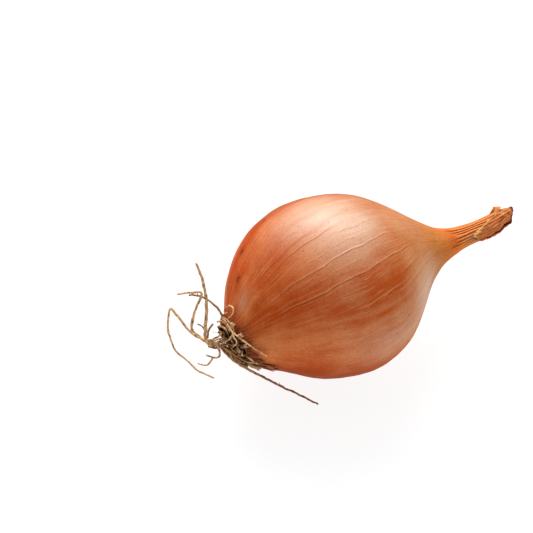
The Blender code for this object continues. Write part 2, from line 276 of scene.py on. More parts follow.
# %% The lathe
def apply(piece, modifier):
    """Applies the modifier, as the button of that name does."""
    select_only(piece)
    bpy.ops.object.modifier_apply(modifier=modifier.name)


lathe = skin.modifiers.new("lathe", "SCREW")
lathe.axis = "X"
lathe.steps = lathe.render_steps = AROUND
lathe.use_merge_vertices = True
lathe.merge_threshold = 1e-6
apply(skin, lathe)
print("turned into", len(skin.data.vertices), "vertices")

# %% Read the turned points, and what ring and column each is on
def read_points(mesh):
    """The mesh's vertices in millimetres, as rows of x, y and z."""
    flat = np.empty(3 * len(mesh.vertices), np.float32)
    mesh.vertices.foreach_get("co", flat)
    return flat.reshape(-1, 3).astype(float) / MM


def write_points(mesh, points):
    """Puts the vertices there."""
    mesh.vertices.foreach_set("co", (points * MM).astype(np.float32).ravel())
    mesh.update()


def keep(mesh, name, values):
    """Stores one number, or one vector, for each vertex, for a material to read."""
    vector = np.ndim(values) == 2
    stored = mesh.attributes.new(name, "FLOAT_VECTOR" if vector else "FLOAT", "POINT")
    stored.data.foreach_set("vector" if vector else "value", np.asarray(values, np.float32).ravel())


turned = read_points(skin.data)
ring_number = np.empty(len(turned), np.float32)
skin.data.attributes["ring"].data.foreach_get("value", ring_number)
ring_number = np.rint(ring_number).astype(int)
ring_x, ring_radius, ring_part, ring_share = (np.array(column)[ring_number] for column in zip(*rings))
column = np.rint(np.arctan2(turned[:, 2], turned[:, 1]) / math.tau * AROUND).astype(int) % AROUND
print("rings and columns:", len(rings), "by", AROUND)

# %% [markdown]
# ### Veins
#
# A dry skin is ribbed by fine veins that run from the roots to the neck. They are raised a tenth of a
# millimetre, paler than the rest, and each fades out before it reaches the neck. Each crest is painted paler,
# reaching onto its side towards the main lamp: partly the vein's own paler colour, partly a painted highlight.
# Each foot on the far side is painted darker as a painted shadow. Painted on alone, they would shimmer between
# the mesh's columns, so each vein is one column of vertices: the columns themselves wander a little, and their
# neighbours are drawn in close, which makes a crisp ridge out of few faces.

# %% The veins
# Each main vein: its angle in degrees, where it starts and ends along the bulb, and its height.
MAIN_VEINS = (
    (73.5, -23.5, 14.0, 0.11), (88.8, -24.0, 19.0, 0.13), (54.5, -17.5, 1.0, 0.09), (48.5, -24.5, -5.0, 0.06),
    (60, -3.0, 9.0, 0.06), (108, -7.0, 8.0, 0.06), (131.5, -18.0, 14.0, 0.04), (60, -26.5, -11.0, 0.06),
    (108, -26.0, -9.0, 0.05), (81, -16.0, 4.0, 0.04), (97, -24.0, 2.0, 0.04), (67, -14.0, 9.0, 0.04),
    (120, -12.0, 14.0, 0.03), (40, -22.0, 2.0, 0.04), (85, 4.0, 20.0, 0.04), (102, 8.0, 21.0, 0.04),
    (145, -20.0, 4.0, 0.03), (70, 5.0, 19.0, 0.04), (91.5, -21.0, -3.0, 0.06), (77.5, -24.0, -10.0, 0.04),
    (104, -22.0, -10.0, 0.04), (46, 0.0, 12.0, 0.04), (116, -22.0, -8.0, 0.03), (125, -24.0, -14.0, 0.04),
    (64, -25.0, -12.0, 0.04), (34, -24.0, -8.0, 0.04), (85, -25.0, -16.0, 0.04), (70, -25.0, -17.0, 0.03),
)
# How the veins bend away from straight lines: distance along the bulb and degrees.
VEIN_BEND = ((-30, -20), (-27.5, -12), (-25, -5), (-23, -0.8), (-21, 2), (-19, 3.4), (-17, 4), (-14, 3.9),
             (-9, 2.6), (-5, 1.4), (-1, 0), (3, -1.2), (7, -2.2), (11, -3.2), (16, -4.4), (22, -5), (30, -5))
HAIRLINES = 110  # fainter ones all round, drawn by lot
rng = random.Random(5)
veins = [(round(angle / 360 * AROUND) % AROUND, start, end, height) for angle, start, end, height in MAIN_VEINS]
for _ in range(HAIRLINES):
    at = rng.randrange(AROUND)
    start = rng.uniform(-27, 6)
    hidden = not 20 < at / AROUND * 360 < 150  # no main veins are placed there, so the lot draws stronger ones
    height = rng.uniform(0.02, 0.04) if not hidden else rng.choice((0.03, 0.05, 0.07, 0.09, 0.12))
    if min(abs(at - other[0]) for other in veins) > 3:
        veins.append((at, start, start + rng.uniform(8, 34), height))
print(len(veins), "veins")

# %% Columns that wander, and the ridges on them
DRAWN_IN = ((1, 0.36), (2, 0.18))  # how many columns from a vein, and by what share of a step towards it
VEIN_FADE_IN, VEIN_FADE_OUT = 5, 7  # millimetres


def vein_turn(x):
    """How far the veins have turned round the bulb, this far along it."""
    return np.radians(smooth(VEIN_BEND, np.clip(x, VEIN_BEND[0][0], VEIN_BEND[-1][0])))


step = math.tau / AROUND
column_angle = np.arange(AROUND) * step
draw_in = np.zeros(AROUND)
for at in {vein[0] for vein in veins}:
    for off, share in DRAWN_IN:
        draw_in[(at + off) % AROUND] -= share * step
        draw_in[(at - off) % AROUND] += share * step

angle = column_angle[column]
on_skin = (ring_part == SKIN) | (ring_part == SHEATH)
wander = vein_turn(np.where(ring_part == DISH, ROOT_END, ring_x))
wander += np.radians(0.45) * np.sin(0.50 * ring_x + 5 * angle) * ease(ring_x, -28, -20)
wander += np.radians(0.20) * np.sin(1.15 * ring_x + 9 * angle) * ease(ring_x, -28, -20)
grown_angle = angle
angle = angle + wander + draw_in[column] * (ring_part == SKIN)

# Painted light and shade along each vein: its crest and, less, the column on the main lamp's side are painted
# paler, partly the vein's own colour and partly a painted highlight, and the column on the far side is painted
# darker, a painted shadow.
vein_height, vein_and_painted_highlight, foot = np.zeros((3, len(turned)))
for at, start, end, height in veins:
    for written, off, share in ((vein_height, 0, 1.0), (vein_and_painted_highlight, 0, 1.0), (vein_and_painted_highlight, -1, 0.45), (foot, 1, 1.0)):
        here = (column == (at + off) % AROUND) & on_skin
        x = ring_x[here]
        fade = ease(x, start, start + VEIN_FADE_IN) * (1 - ease(x, end - VEIN_FADE_OUT, end))
        uneven = 0.8 + 0.2 * np.sin(1.7 * x + at)
        written[here] = np.maximum(written[here], share * height * (fade * uneven))
print("the highest vein is", round(float(vein_height.max()), 3), "mm high")

# %% [markdown]
# ### Wrinkles, and the torn sheath
#
# The skin was wet when it was drawn in round the neck and the roots, and it dried into folds there: broad
# rounded ridges with narrow creases between them. They are cut into the radius, and each vertex stores how deep
# in a crease it is, so that the material paints shade into the creases and a highlight on the neck's ridges.
# Where the neck's sheath has torn, the rings between the neck and the tear are stretched to reach the ragged
# line: long at the bulb's back, short on the lower side, with small teeth, and a narrow stub at the long end
# stands up.

# %% The tear
STUB_AT, STUB_WIDTH, STUB_HEIGHT = math.radians(8), math.radians(9), 1.15
# Where the sheath is torn: degrees round the neck, and how far the skin reaches there.
TEAR = ((-60, 45.0), (-25, 48.8), (0, 49.4), (25, 48.9), (45, 46.9), (65, 43.5), (88, 40.8), (108, 39.3),
        (128, 38.9), (150, 40.2), (200, 40.8), (250, 41.5), (300, 45.0), (335, 48.8), (360, 49.4))


def turned_from(angle, start):
    """The angle from start to here, at most half a turn either way."""
    return np.mod(angle - start + math.pi, math.tau) - math.pi


def torn_edge(angle):
    """How far the torn sheath reaches at this angle."""
    teeth = 0.30 * np.sin(5 * angle + 0.7) * np.sin(8 * angle)
    teeth = teeth + 0.20 * np.sin(23 * angle + 1) * np.sin(9 * angle)
    teeth += 0.12 * np.sin(61 * angle) * np.sin(37 * angle + 2)
    stub = 0.7 * np.exp(-(turned_from(angle, STUB_AT) / math.radians(13)) ** 4)
    return smooth(TEAR, np.degrees(np.mod(angle, math.tau))) + teeth + stub


edge = torn_edge(angle)
print("the sheath is torn between", edge.min().round(1), "and", edge.max().round(1), "mm along")

# %% The creases
CREASE_DEPTH, ROOT_CREASE_DEPTH = 0.42, 0.30


def neck_creases(x, angle):
    """How deep in one of the neck's creases: 1 at its bottom, 0 on the rounded ridges."""
    turn = angle + 0.05 * np.sin(3 * angle + 0.25 * x) + 0.022 * np.sin(0.9 * x + 2 * angle)
    ridge = np.abs(np.sin(12 * turn + 0.7 * np.sin(3 * turn) + 0.5 * np.sin(5 * turn + 1))) ** 0.8
    begin = 32.6 + 1.6 * np.sin(5 * angle + 1) + 1.2 * np.sin(13 * angle + 2)
    uneven = 0.80 + 0.20 * np.sin(4 * turn + 0.6 * x) * np.sin(0.5 * x + 7 * turn)
    return (1 - ridge) * uneven * ease(x, begin, begin + 2.2)


def root_creases(x, angle):
    """The same for the creases that run out from the roots."""
    grown = angle - vein_turn(x)
    ridge = np.abs(np.sin(17 * grown + 0.8 * np.sin(4 * grown) + 0.5 * np.sin(7 * grown + 2))) ** 0.7
    reach = -27.7 + 0.9 * np.sin(9 * grown) + 1.0 * np.sin(23 * grown + 1)
    return (1 - ridge) * (1 - ease(x, -29.6, reach)) ** 1.3


def skin_radius(x, angle):
    """The skin's radius with the folds of its neck and of its root end."""
    grown = angle - vein_turn(x)
    belly = ease(x, -26, -12) * (1 - ease(x, 12, 24))
    broad = 0.040 * np.cos(15 * grown + 0.8 * np.sin(3 * grown)) * belly
    broad += 0.035 * np.sin(6 * grown + 0.31 * x + 1) * np.sin(0.42 * x + 3 * grown) * belly
    broad += 0.07 * np.sin(9 * grown + np.sin(2 * grown)) * ease(x, 27, 34)
    broad += 0.12 * np.sin(11 * grown + 0.8) * (1 - ease(x, -29, -20)) ** 2
    return (belly_radius(x, angle) + broad - CREASE_DEPTH * neck_creases(x, angle)
            - ROOT_CREASE_DEPTH * root_creases(x, angle))


print("radius at the neck", round(float(skin_radius(34.0, 0.0)), 2), "mm")

# %% Press the turned body into its final form
NO_EDGE = 99.0  # the distance to the tear, for the parts that have none

x = np.where((ring_part == SHEATH) | (ring_part == LINING),
             MOUTH_FLOOR + (edge - MOUTH_FLOOR) * ring_share, ring_x)
to_edge = np.where(ring_part >= SHEATH, edge - x, NO_EDGE)
stub = STUB_HEIGHT * np.exp(-(turned_from(angle, STUB_AT) / STUB_WIDTH) ** 4)
stub *= ease(x, 48.0, 48.5) * (1 - 0.75 * np.clip((x - 48.5) / 1.8, 0, 1))
radius = skin_radius(x, angle) + vein_height
radius = np.where(ring_part >= SHEATH, radius + stub, radius)
radius = np.where(ring_part == LINING, radius - SHEATH_WALL, radius)
radius = np.where(ring_part == DISH, ring_radius, radius)
radius = np.where(ring_radius == 0, 0, radius)
ragged = 0.35 * np.sin(13 * angle + 1) * np.sin(7 * angle) + 0.2 * np.sin(31 * angle)
x = x + ragged * (ring_part == SKIN) * (1 - ease(ring_x, ROOT_END, ROOT_END + 2.5))
x = np.where(ring_part == LINING, x - 0.03, x)

points = place(x, angle, radius)
points[:, 2] = np.maximum(points[:, 2], 0)
write_points(skin.data, points)


def face_outwards(piece, merge=False):
    """Turns the faces outwards, with doubled points merged first if asked, and shades the piece smooth."""
    select_only(piece)
    bpy.ops.object.mode_set(mode="EDIT")
    bpy.ops.mesh.select_all(action="SELECT")
    if merge:
        bpy.ops.mesh.remove_doubles(threshold=1e-6)
    bpy.ops.mesh.normals_make_consistent(inside=False)
    bpy.ops.object.mode_set(mode="OBJECT")
    bpy.ops.object.shade_smooth()


face_outwards(skin)
print("skin box", points.min(0).round(2), points.max(0).round(2), "solid",
      [round(v / MM, 2) for v in (*bulb_low, *bulb_high)])

# %% [markdown]
# ### What the skin's material needs to know
#
# The colours follow the growth of the skin: pale and dark bands run along it and narrow towards both ends.
# So each vertex stores its place on the growing skin, as the two sides of its angle and its distance along
# the bulb, which has no seam anywhere. Broad bands, with painted shade along the back edge and the lower side,
# dry silvery patches, with a painted highlight on the upper belly, scars and painted shade round the roots'
# feet are tables of soft spots, each given by its angle and its distance along the bulb. What they add up to at
# a vertex is stored too, and so is how much it belongs to a vein, a crease or the torn edge. From the veins and
# the creases the material paints highlights and shade.

# %% Bands with painted shade, and dry patches with a painted highlight
# Each band: angle in degrees, half width in degrees, middle and half length along the bulb, and how light.
# The rows at 4 and 2 degrees darken the edge at the bulb's back, and the row at 169 degrees its lower side:
# these are painted shade.
BANDS_AND_PAINTED_SHADE = (
    (4, 9, -19, 9, -1.5), (40, 17, -18, 11, -0.55), (88, 13, -18, 10, -0.60), (128, 14, -16, 12, 0.9),
    (169, 12, -9, 20, -1.3), (68, 22, -3, 10, 0.95), (28, 14, -2, 10, 0.7), (109, 8, -3, 8, -0.60),
    (98, 13, 3.5, 6.5, -1.15), (146, 13, 1, 11, 0.6), (130, 9, 10, 8, 0.25), (120, 12, 18, 6, 0.9),
    (35, 10, 13, 4, -0.4), (117.5, 2.0, -5, 15, -0.6), (113.5, 1.8, -8, 11, 0.5), (81, 4, -3, 6, 0.4),
    (61, 3, -20, 6, -0.1), (40, 11, -24.0, 2.2, 0.9), (56, 6, -24.6, 2.4, 0.95), (98, 7, 15.5, 3.5, 0.5),
    (72, 8, -25, 3.5, -0.5), (105, 9, -26, 3, 0.5), (90, 2.2, 5, 7, -0.4), (137, 2.2, -4, 13, -0.4),
    (240, 20, -5, 14, -0.9), (290, 16, 0, 12, 0.7), (215, 8, -8, 12, 0.6), (330, 12, -10, 12, -0.6),
    (265, 7, 4, 12, -0.7), (310, 6, 6, 12, -0.6), (2, 13, 4, 17, -0.8), (82, 7, 9, 5.5, -0.75),
    (63, 10, -21, 4, -0.45), (20, 8, -22, 4, -0.6), (80, 14, 35, 3.5, -1.1), (55, 8, -13, 4, -0.35),
    (33, 6, -15, 4, 0.4), (25, 6, -12, 5, 0.3), (111, 4, -2, 3.5, 0.35),
)
# Dry, silvery patches of skin, in the same way: how silvery comes last. The rows on the upper belly from 44 to
# 66 degrees are largely a painted highlight where the main lamp shines, and the row at 44 degrees near the roots
# paints light into a shaded spot.
PALE_AND_PAINTED_HIGHLIGHT = (
    (44, 27, 0, 10, 0.95), (66, 16, 1, 7, 0.42), (58, 12, 7, 4, 0.35), (52, 9, -4, 5, -0.25),
    (44, 8, -25.0, 1.5, 0.42), (62, 8, -1, 4, -0.3), (6, 12, -2, 9, -0.3), (60, 14, 20, 6, 0.15),
    (132, 20, 17, 6, 0.70), (142, 13, 4, 9, 0.38), (40, 10, -11, 5, 0.25), (104, 14, 21, 4, 0.15),
    (225, 26, -2, 13, 0.55), (285, 20, 4, 12, 0.45), (255, 14, -14, 9, 0.35), (325, 20, 6, 12, 0.45),
)


def near_angle(at, half_width):
    """1 where a vertex is at this angle round the bulb, and less to both sides. Both are in degrees."""
    return np.exp(-(np.degrees(turned_from(angle, np.radians(at))) / half_width) ** 2)


def add_up(strips, power):
    """The sum of these strips at each vertex. The power says how square their ends are."""
    total = np.zeros(len(turned))
    for at, half_width, middle_x, half_length, amount in strips:
        total += amount * near_angle(at, half_width) * np.exp(-((ring_x - middle_x) / half_length) ** power)
    return total


tone, pale = add_up(BANDS_AND_PAINTED_SHADE, 4), add_up(PALE_AND_PAINTED_HIGHLIGHT, 2)
print("tone from", tone.min().round(2), "to", tone.max().round(2))

# %% Scars, and painted shade round the roots
# Each scar: angle in degrees, distance along the bulb, half width and half length in millimetres.
SCARS = ((9, -18.4, 0.9, 0.55), (23, -22.5, 0.8, 0.45), (9, -10.6, 0.35, 0.45), (350, -14.0, 0.3, 1.0),
         (250, -10.0, 0.5, 0.9), (205, 6.0, 0.3, 0.6))
# Painted shade on the skin round the roots' feet: in the same way, but broader.
PAINTED_ROOT_SHADE = ((50, -29.2, 0.8, 0.8), (70, -29.1, 1.2, 0.9), (90, -29.2, 1.2, 0.9), (112, -29.2, 1.2, 0.8),
        (133, -29.0, 1.3, 0.9), (158, -28.6, 1.6, 1.1), (190, -28.8, 1.3, 1.1), (225, -29.2, 1.3, 0.8),
        (265, -29.2, 1.3, 0.9), (310, -29.2, 1.2, 0.8))


def darkest(spots):
    """How much each vertex is in one of these spots: 1 in the middle of a spot."""
    stain_and_shade = np.zeros(len(turned))
    for at, spot_x, wide, long in spots:
        off = turned_from(angle, math.radians(at)) * np.maximum(radius, 1)
        stain_and_shade = np.maximum(stain_and_shade, np.exp(-((off / wide) ** 2 + ((ring_x - spot_x) / long) ** 2)))
    return stain_and_shade * (ring_part == SKIN)


scar, soil = darkest(SCARS), darkest(PAINTED_ROOT_SHADE)
print("vertices in a scar:", int((scar > 0.5).sum()), "and in soil:", int((soil > 0.5).sum()))

# %% Store what the material reads
GROW_UNIT = BELLY_RADIUS
# Painted shade: the skin is darkened along the bulb's lower side, and on its back along a ridge that turns
# towards the neck.
dull = near_angle(188, 26) * (1 - ease(ring_x, -3, 7))
ridge_at = 2 + 12 * ease(ring_x, 0, 14)
dull += 0.6 * near_angle(ridge_at, 12) * ease(ring_x, -18, -8) * (1 - ease(ring_x, 18, 26))
# The creases' painted shade is strong everywhere but on the shoulder above the roots, where the skin lies flat.
crease = np.maximum(neck_creases(x, angle), root_creases(x, angle)) * on_skin
crease *= 1 - 0.7 * near_angle(43, 10) * (1 - ease(ring_x, -20, 0))

stored = {
    "grow": np.stack([np.cos(grown_angle), np.sin(grown_angle), x / GROW_UNIT], -1),
    "vein": np.clip(vein_and_painted_highlight / 0.10, 0, 1),
    "painted_vein_shadow": np.clip(foot / 0.12, 0, 1),
    "tone": np.clip(tone, -1.5, 1.5),
    "scar": scar,
    "soil": soil,
    "pale": np.clip(pale, 0, 1),
    "dull": dull,
    "torn": np.exp(-(to_edge / 0.35) ** 2),
    "crease": np.clip(crease, 0, 1),
    "frayed": near_angle(124, 17) * np.exp(-(to_edge / 1.3) ** 2),
    "lining": (ring_part == LINING) * 1.0,
}
for name, values in stored.items():
    keep(skin.data, name, values)
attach(skin, "root")
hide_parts("bulb")
print(2 * len(skin.data.polygons), "triangles in the skin, which stores", ", ".join(stored))

# %% [markdown]
# ## Finishes
#
# Dry skin, leaf and roots share three effects, so each is a node group that is made once. The first stretches
# a noise along the growth, which gives bands and fibres of any width. The second is the fine orange peel that
# dry skin has in a low light. The third breaks an edge between two colours into patches.

# %% Small helpers for node trees
def colour(red, green, blue):
    """A colour given as on a screen, 0 to 255, turned into the light values that shaders work with."""
    shares = (red / 255, green / 255, blue / 255)
    return (*(((c + 0.055) / 1.055) ** 2.4 if c > 0.04045 else c / 12.92 for c in shares), 1)


class Tree:
    """Adds nodes to a tree, sets their inputs and links them, one line for each."""

    def __init__(self, tree):
        self.tree = tree

    def add(self, kind, settings=None, **inputs):
        node = self.tree.nodes.new(kind)
        for name, value in (settings or {}).items():
            setattr(node, name, value)
        for name, value in inputs.items():
            self.put(node.inputs[int(name[1:]) if name[1:].isdigit() else name.replace("_", " ")], value)
        return node

    def put(self, socket, value):
        if isinstance(value, bpy.types.NodeSocket):
            self.tree.links.new(value, socket)
        else:
            socket.default_value = value

    def math(self, operation, first, second=0.0, third=0.0, clamp=False):
        settings = {"operation": operation, "use_clamp": clamp}
        return self.add("ShaderNodeMath", settings, _0=first, _1=second, _2=third).outputs[0]

    def mix(self, share, first, second, blend="MIX"):
        settings = {"data_type": "RGBA", "blend_type": blend}
        return self.add("ShaderNodeMix", settings, _0=share, _6=first, _7=second).outputs[2]

    def stain_and_shade(self, base, mask, strength, shade):
        """The base colour with this shade over it, used for real stains and for painted light and shade alike.
        The mask is a socket, or the name of an attribute.
        """
        mask = self.attribute(mask) if isinstance(mask, str) else mask
        shade = colour(*shade) if isinstance(shade, tuple) else shade
        return self.mix(self.math("MULTIPLY", mask, strength), base, shade)

    def ramp(self, value, *stops):
        node = self.add("ShaderNodeValToRGB", None, _0=value)
        marks = node.color_ramp.elements
        while len(marks) < len(stops):
            marks.new(0.5)
        for mark, (position, shade) in zip(marks, stops):
            mark.position = position
            mark.color = shade if isinstance(shade, tuple) else (shade, shade, shade, 1)
        return node.outputs[0]

    def span(self, value, low, high, out_low=0.0, out_high=1.0):
        settings = {"interpolation_type": "SMOOTHSTEP"}
        ends = {"_1": low, "_2": high, "_3": out_low, "_4": out_high}
        return self.add("ShaderNodeMapRange", settings, _0=value, **ends).outputs[0]

    def attribute(self, name, output="Fac"):
        return self.add("ShaderNodeAttribute", {"attribute_name": name}).outputs[output]

    def group(self, made, **inputs):
        return self.add("ShaderNodeGroup", {"node_tree": made}, **inputs).outputs[0]

    def bump(self, height, strength, depth, under=None):
        """The normal of a bump this deep, in millimetres, on top of another bump's normal if one is given."""
        node = self.add("ShaderNodeBump", None, Strength=strength, Distance=depth * MM, Height=height)
        if under is not None:
            self.put(node.inputs["Normal"], under)
        return node.outputs[0]


print("a tree of nodes has:", ", ".join(name for name in vars(Tree) if not name.startswith("_")))

# %% New groups and materials
def new_group(name, inputs, outputs):
    """A node group with these sockets, each given as its name, kind and first value."""
    made = bpy.data.node_groups.new(name, "ShaderNodeTree")
    for socket, kind, value in inputs:
        made_socket = made.interface.new_socket(socket, in_out="INPUT", socket_type="NodeSocket" + kind)
        if value is not None:
            made_socket.default_value = value
    for socket, kind in outputs:
        made.interface.new_socket(socket, in_out="OUTPUT", socket_type="NodeSocket" + kind)
    tree = Tree(made)
    return made, tree, tree.add("NodeGroupInput").outputs, tree.add("NodeGroupOutput").inputs


def new_material(name, roughness):
    """A material, its tree and its shader."""
    made = bpy.data.materials.new(name)
    made.use_nodes = True
    shader = made.node_tree.nodes["Principled BSDF"]
    shader.inputs["Roughness"].default_value = roughness
    shader.inputs["IOR"].default_value = 1.15  # dry and dull, so it mirrors little of the white around it
    return made, Tree(made.node_tree), shader


print("node helpers ready")

# %% Three shared effects
FIBRES, tree, given, result = new_group(
    "fibres along the growth",
    [("Growth", "Vector", None), ("Across", "Float", 10.0), ("Along", "Float", 1.0), ("Detail", "Float", 2.0),
     ("Offset", "Float", 0.0)],
    [("Value", "Float")],
)
stretch = tree.add("ShaderNodeCombineXYZ", None, X=given["Across"], Y=given["Across"], Z=given["Along"])
scaled = tree.add("ShaderNodeVectorMath", {"operation": "MULTIPLY"}, _0=given["Growth"], _1=stretch.outputs[0])
shifted = tree.add("ShaderNodeVectorMath", {"operation": "ADD"}, _0=scaled.outputs[0], _1=given["Offset"])
noise = tree.add("ShaderNodeTexNoise", None, Vector=shifted.outputs[0], Scale=1.0, Detail=given["Detail"],
                 Roughness=0.55)
tree.put(result["Value"], noise.outputs[0])

PEEL, tree, given, result = new_group(
    "orange peel", [("Size", "Float", 0.5), ("Uneven", "Float", 0.5)], [("Height", "Float")]
)
everywhere = tree.add("ShaderNodeTexCoord").outputs["Object"]
scale = tree.math("DIVIDE", 1000.0, given["Size"])
cells = tree.add("ShaderNodeTexVoronoi", {"feature": "SMOOTH_F1"}, Vector=everywhere, Scale=scale,
                 Smoothness=0.6)
coarser = tree.math("MULTIPLY", scale, 0.7)
grain = tree.add("ShaderNodeTexNoise", None, Vector=everywhere, Scale=coarser, Detail=2.0)
dimples = tree.math("SUBTRACT", 1.0, cells.outputs[0])
tree.put(result["Height"], tree.mix(given["Uneven"], dimples, grain.outputs[0]))

PATCHES, tree, given, result = new_group(
    "dry patches",
    [("Size", "Float", 3.0), ("From", "Float", 0.5), ("To", "Float", 0.7), ("Offset", "Float", 0.0)],
    [("Mask", "Float")],
)
everywhere = tree.add("ShaderNodeTexCoord").outputs["Object"]
moved = tree.add("ShaderNodeVectorMath", {"operation": "ADD"}, _0=everywhere, _1=given["Offset"])
scale = tree.math("DIVIDE", 1000.0, given["Size"])
noise = tree.add("ShaderNodeTexNoise", None, Vector=moved.outputs[0], Scale=scale, Detail=4.0, Roughness=0.6)
tree.put(result["Mask"], tree.span(noise.outputs[0], given["From"], given["To"]))
print("shared effects:", FIBRES.name, "/", PEEL.name, "/", PATCHES.name)

# %% [markdown]
# ### The skin's finish
#
# The skin is a thin copper-brown film with a silky shine. Its colour changes along the bulb: red-brown and dry
# at the roots, coppery on the belly, olive-yellow where it narrows, orange on the neck and pale tan at the tear.
# One ramp gives the light bands and one the dark bands, and fibres of three widths choose between them. The
# shine isn't clear like varnish: it is broken by the orange peel and by the fibres, so both are in the bump.

# %% The skin's bands
PAPER, tree, shader = new_material("papery skin", 0.45)
RAMP_FROM, RAMP_TO = -32, 52  # where the ramps start and end, in millimetres along the bulb
growth = tree.attribute("grow", "Vector")
along = tree.add("ShaderNodeSeparateXYZ", None, Vector=growth).outputs["Z"]
place_along = tree.span(along, RAMP_FROM / GROW_UNIT, RAMP_TO / GROW_UNIT)
place_along.node.interpolation_type = "LINEAR"


def ramp_along(*stops):
    """A colour that changes along the bulb. Each stop is a distance in millimetres and a colour."""
    return tree.ramp(place_along, *(((x - RAMP_FROM) / (RAMP_TO - RAMP_FROM), colour(*shade))
                                    for x, *shade in stops))


light_bands = ramp_along(
    (-30, 196, 100, 50), (-26, 242, 142, 82), (-18, 236, 130, 72), (-8, 230, 142, 92), (2, 218, 144, 96),
    (12, 210, 142, 90), (21, 206, 138, 86), (27, 206, 132, 66), (34, 238, 136, 62), (44, 246, 148, 78),
)
dark_bands = ramp_along(
    (-30, 132, 50, 16), (-26, 208, 90, 32), (-20, 206, 78, 18), (-12, 208, 86, 28), (0, 204, 90, 32),
    (8, 196, 86, 24), (16, 190, 102, 42), (27, 194, 106, 34), (34, 222, 104, 32), (44, 222, 104, 40),
)
broad = tree.group(FIBRES, Growth=growth, Across=5.0, Along=0.8, Detail=3.0)
bands = tree.group(FIBRES, Growth=growth, Across=16.0, Along=1.2, Detail=4.0, Offset=3.1)
fibres = tree.group(FIBRES, Growth=growth, Across=55.0, Along=5.0, Detail=3.0, Offset=7.7)
blotches = tree.group(PATCHES, Size=6.0, From=0.25, To=0.75, Offset=9.0)
choice = tree.math("MULTIPLY_ADD", broad, 0.9, -0.45)
for pattern, gain, level in ((bands, 0.65, -0.325), (fibres, 0.70, -0.33), (blotches, 0.5, -0.25)):
    choice = tree.math("ADD", choice, tree.math("MULTIPLY_ADD", pattern, gain, level))
# The tone also carries the painted shade along the back edge and the lower side.
tone = tree.math("MULTIPLY_ADD", tree.attribute("tone"), 0.52, 0.51)
base = tree.mix(tree.math("ADD", choice, tone, clamp=True), dark_bands, light_bands)
print("bands:", len(PAPER.node_tree.nodes), "nodes")

# %% Silvery patches with a painted highlight, veins with painted light and shadow, and specks on them
# Dry silvery patches, together with a painted highlight on the upper belly where the main lamp shines; the same
# mask gives the coat its shine.
silvery_and_painted_highlight = tree.math("MULTIPLY_ADD", bands, 1.4, 0.15)
silvery_and_painted_highlight = tree.math("MULTIPLY", tree.attribute("pale"), silvery_and_painted_highlight, clamp=True)
base = tree.stain_and_shade(base, silvery_and_painted_highlight, 0.75, (226, 186, 154))
threads = tree.group(FIBRES, Growth=growth, Across=24.0, Along=0.7, Detail=1.0, Offset=11.0)
off_thread = tree.math("ABSOLUTE", tree.math("SUBTRACT", threads, 0.5))  # each thread is where the noise is 0.5
threads = tree.span(off_thread, 0.0, 0.022, 1.0, 0.0)
base = tree.stain_and_shade(base, threads, tree.math("MULTIPLY", fibres, 0.75), (236, 168, 122))
# A painted shadow along each vein's foot, away from the main lamp, then its crest painted paler: partly the
# vein's own colour, partly a painted highlight.
base = tree.stain_and_shade(base, "painted_vein_shadow", 0.45, (148, 58, 20))
base = tree.stain_and_shade(base, "vein", 0.65, (244, 168, 114))
grain = tree.group(PEEL, Size=0.36, Uneven=0.75)
base = tree.mix(0.90, base, tree.ramp(grain, (0.28, 0.72), (0.74, 1.0)), blend="MULTIPLY")
base = tree.stain_and_shade(base, tree.group(PATCHES, Size=0.9, From=0.67, To=0.72), 0.6, (130, 54, 20))
# Painted shade along the lower side and along the ridge on the back.
base = tree.stain_and_shade(base, "dull", 0.7, (120, 46, 20))
print("with veins and specks:", len(PAPER.node_tree.nodes), "nodes")

# %% Painted light and shade in the creases, scars, painted shade round the roots, and the torn edge
# A painted highlight on the neck's rounded ridges, and painted shade in the creases of the neck and the root end.
crease = tree.attribute("crease")
on_neck = tree.span(along, 33 / GROW_UNIT, 36.5 / GROW_UNIT)
base = tree.stain_and_shade(base, tree.span(crease, 0.22, 0.02), tree.math("MULTIPLY", on_neck, 0.75), (252, 172, 104))
base = tree.stain_and_shade(base, crease, tree.math("MULTIPLY_ADD", on_neck, -0.20, 0.80), (140, 48, 14))
base = tree.stain_and_shade(base, "scar", 0.85, (80, 24, 10))
# Painted shade on the skin round the roots' feet, broken up by the fibres.
painted_root_shade_mask = tree.math("MULTIPLY", tree.attribute("soil"), tree.span(fibres, 0.40, 0.60))
base = tree.stain_and_shade(base, painted_root_shade_mask, 0.9, (96, 38, 16))
rim = tree.math("MULTIPLY", tree.attribute("torn"), tree.math("MULTIPLY_ADD", fibres, 1.4, 0.1), clamp=True)
base = tree.mix(rim, base, colour(226, 164, 100))
base = tree.stain_and_shade(base, "frayed", 0.8, tree.mix(fibres, colour(70, 40, 44), colour(196, 160, 140)))
base = tree.stain_and_shade(base, "lining", 0.8, (120, 62, 30))
tree.put(shader.inputs["Base Color"], base)
print("with creases and marks:", len(PAPER.node_tree.nodes), "nodes")

# %% The skin's silky shine
tree.put(shader.inputs["Roughness"], tree.math("MULTIPLY_ADD", bands, 0.20, 0.38))
tree.put(shader.inputs["Coat Weight"], tree.math("MULTIPLY_ADD", silvery_and_painted_highlight, 1.2, 0.02, clamp=True))
peel_bump = tree.bump(tree.group(PEEL, Size=0.55, Uneven=0.55), 1.0, 0.06)
tree.put(shader.inputs["Normal"], tree.bump(fibres, 0.9, 0.06, under=peel_bump))
shader.inputs["IOR"].default_value = 1.05
shader.inputs["Coat IOR"].default_value = 1.75
shader.inputs["Coat Roughness"].default_value = 0.45
skin.data.materials.append(PAPER)
print("skin material:", len(PAPER.node_tree.nodes), "nodes")

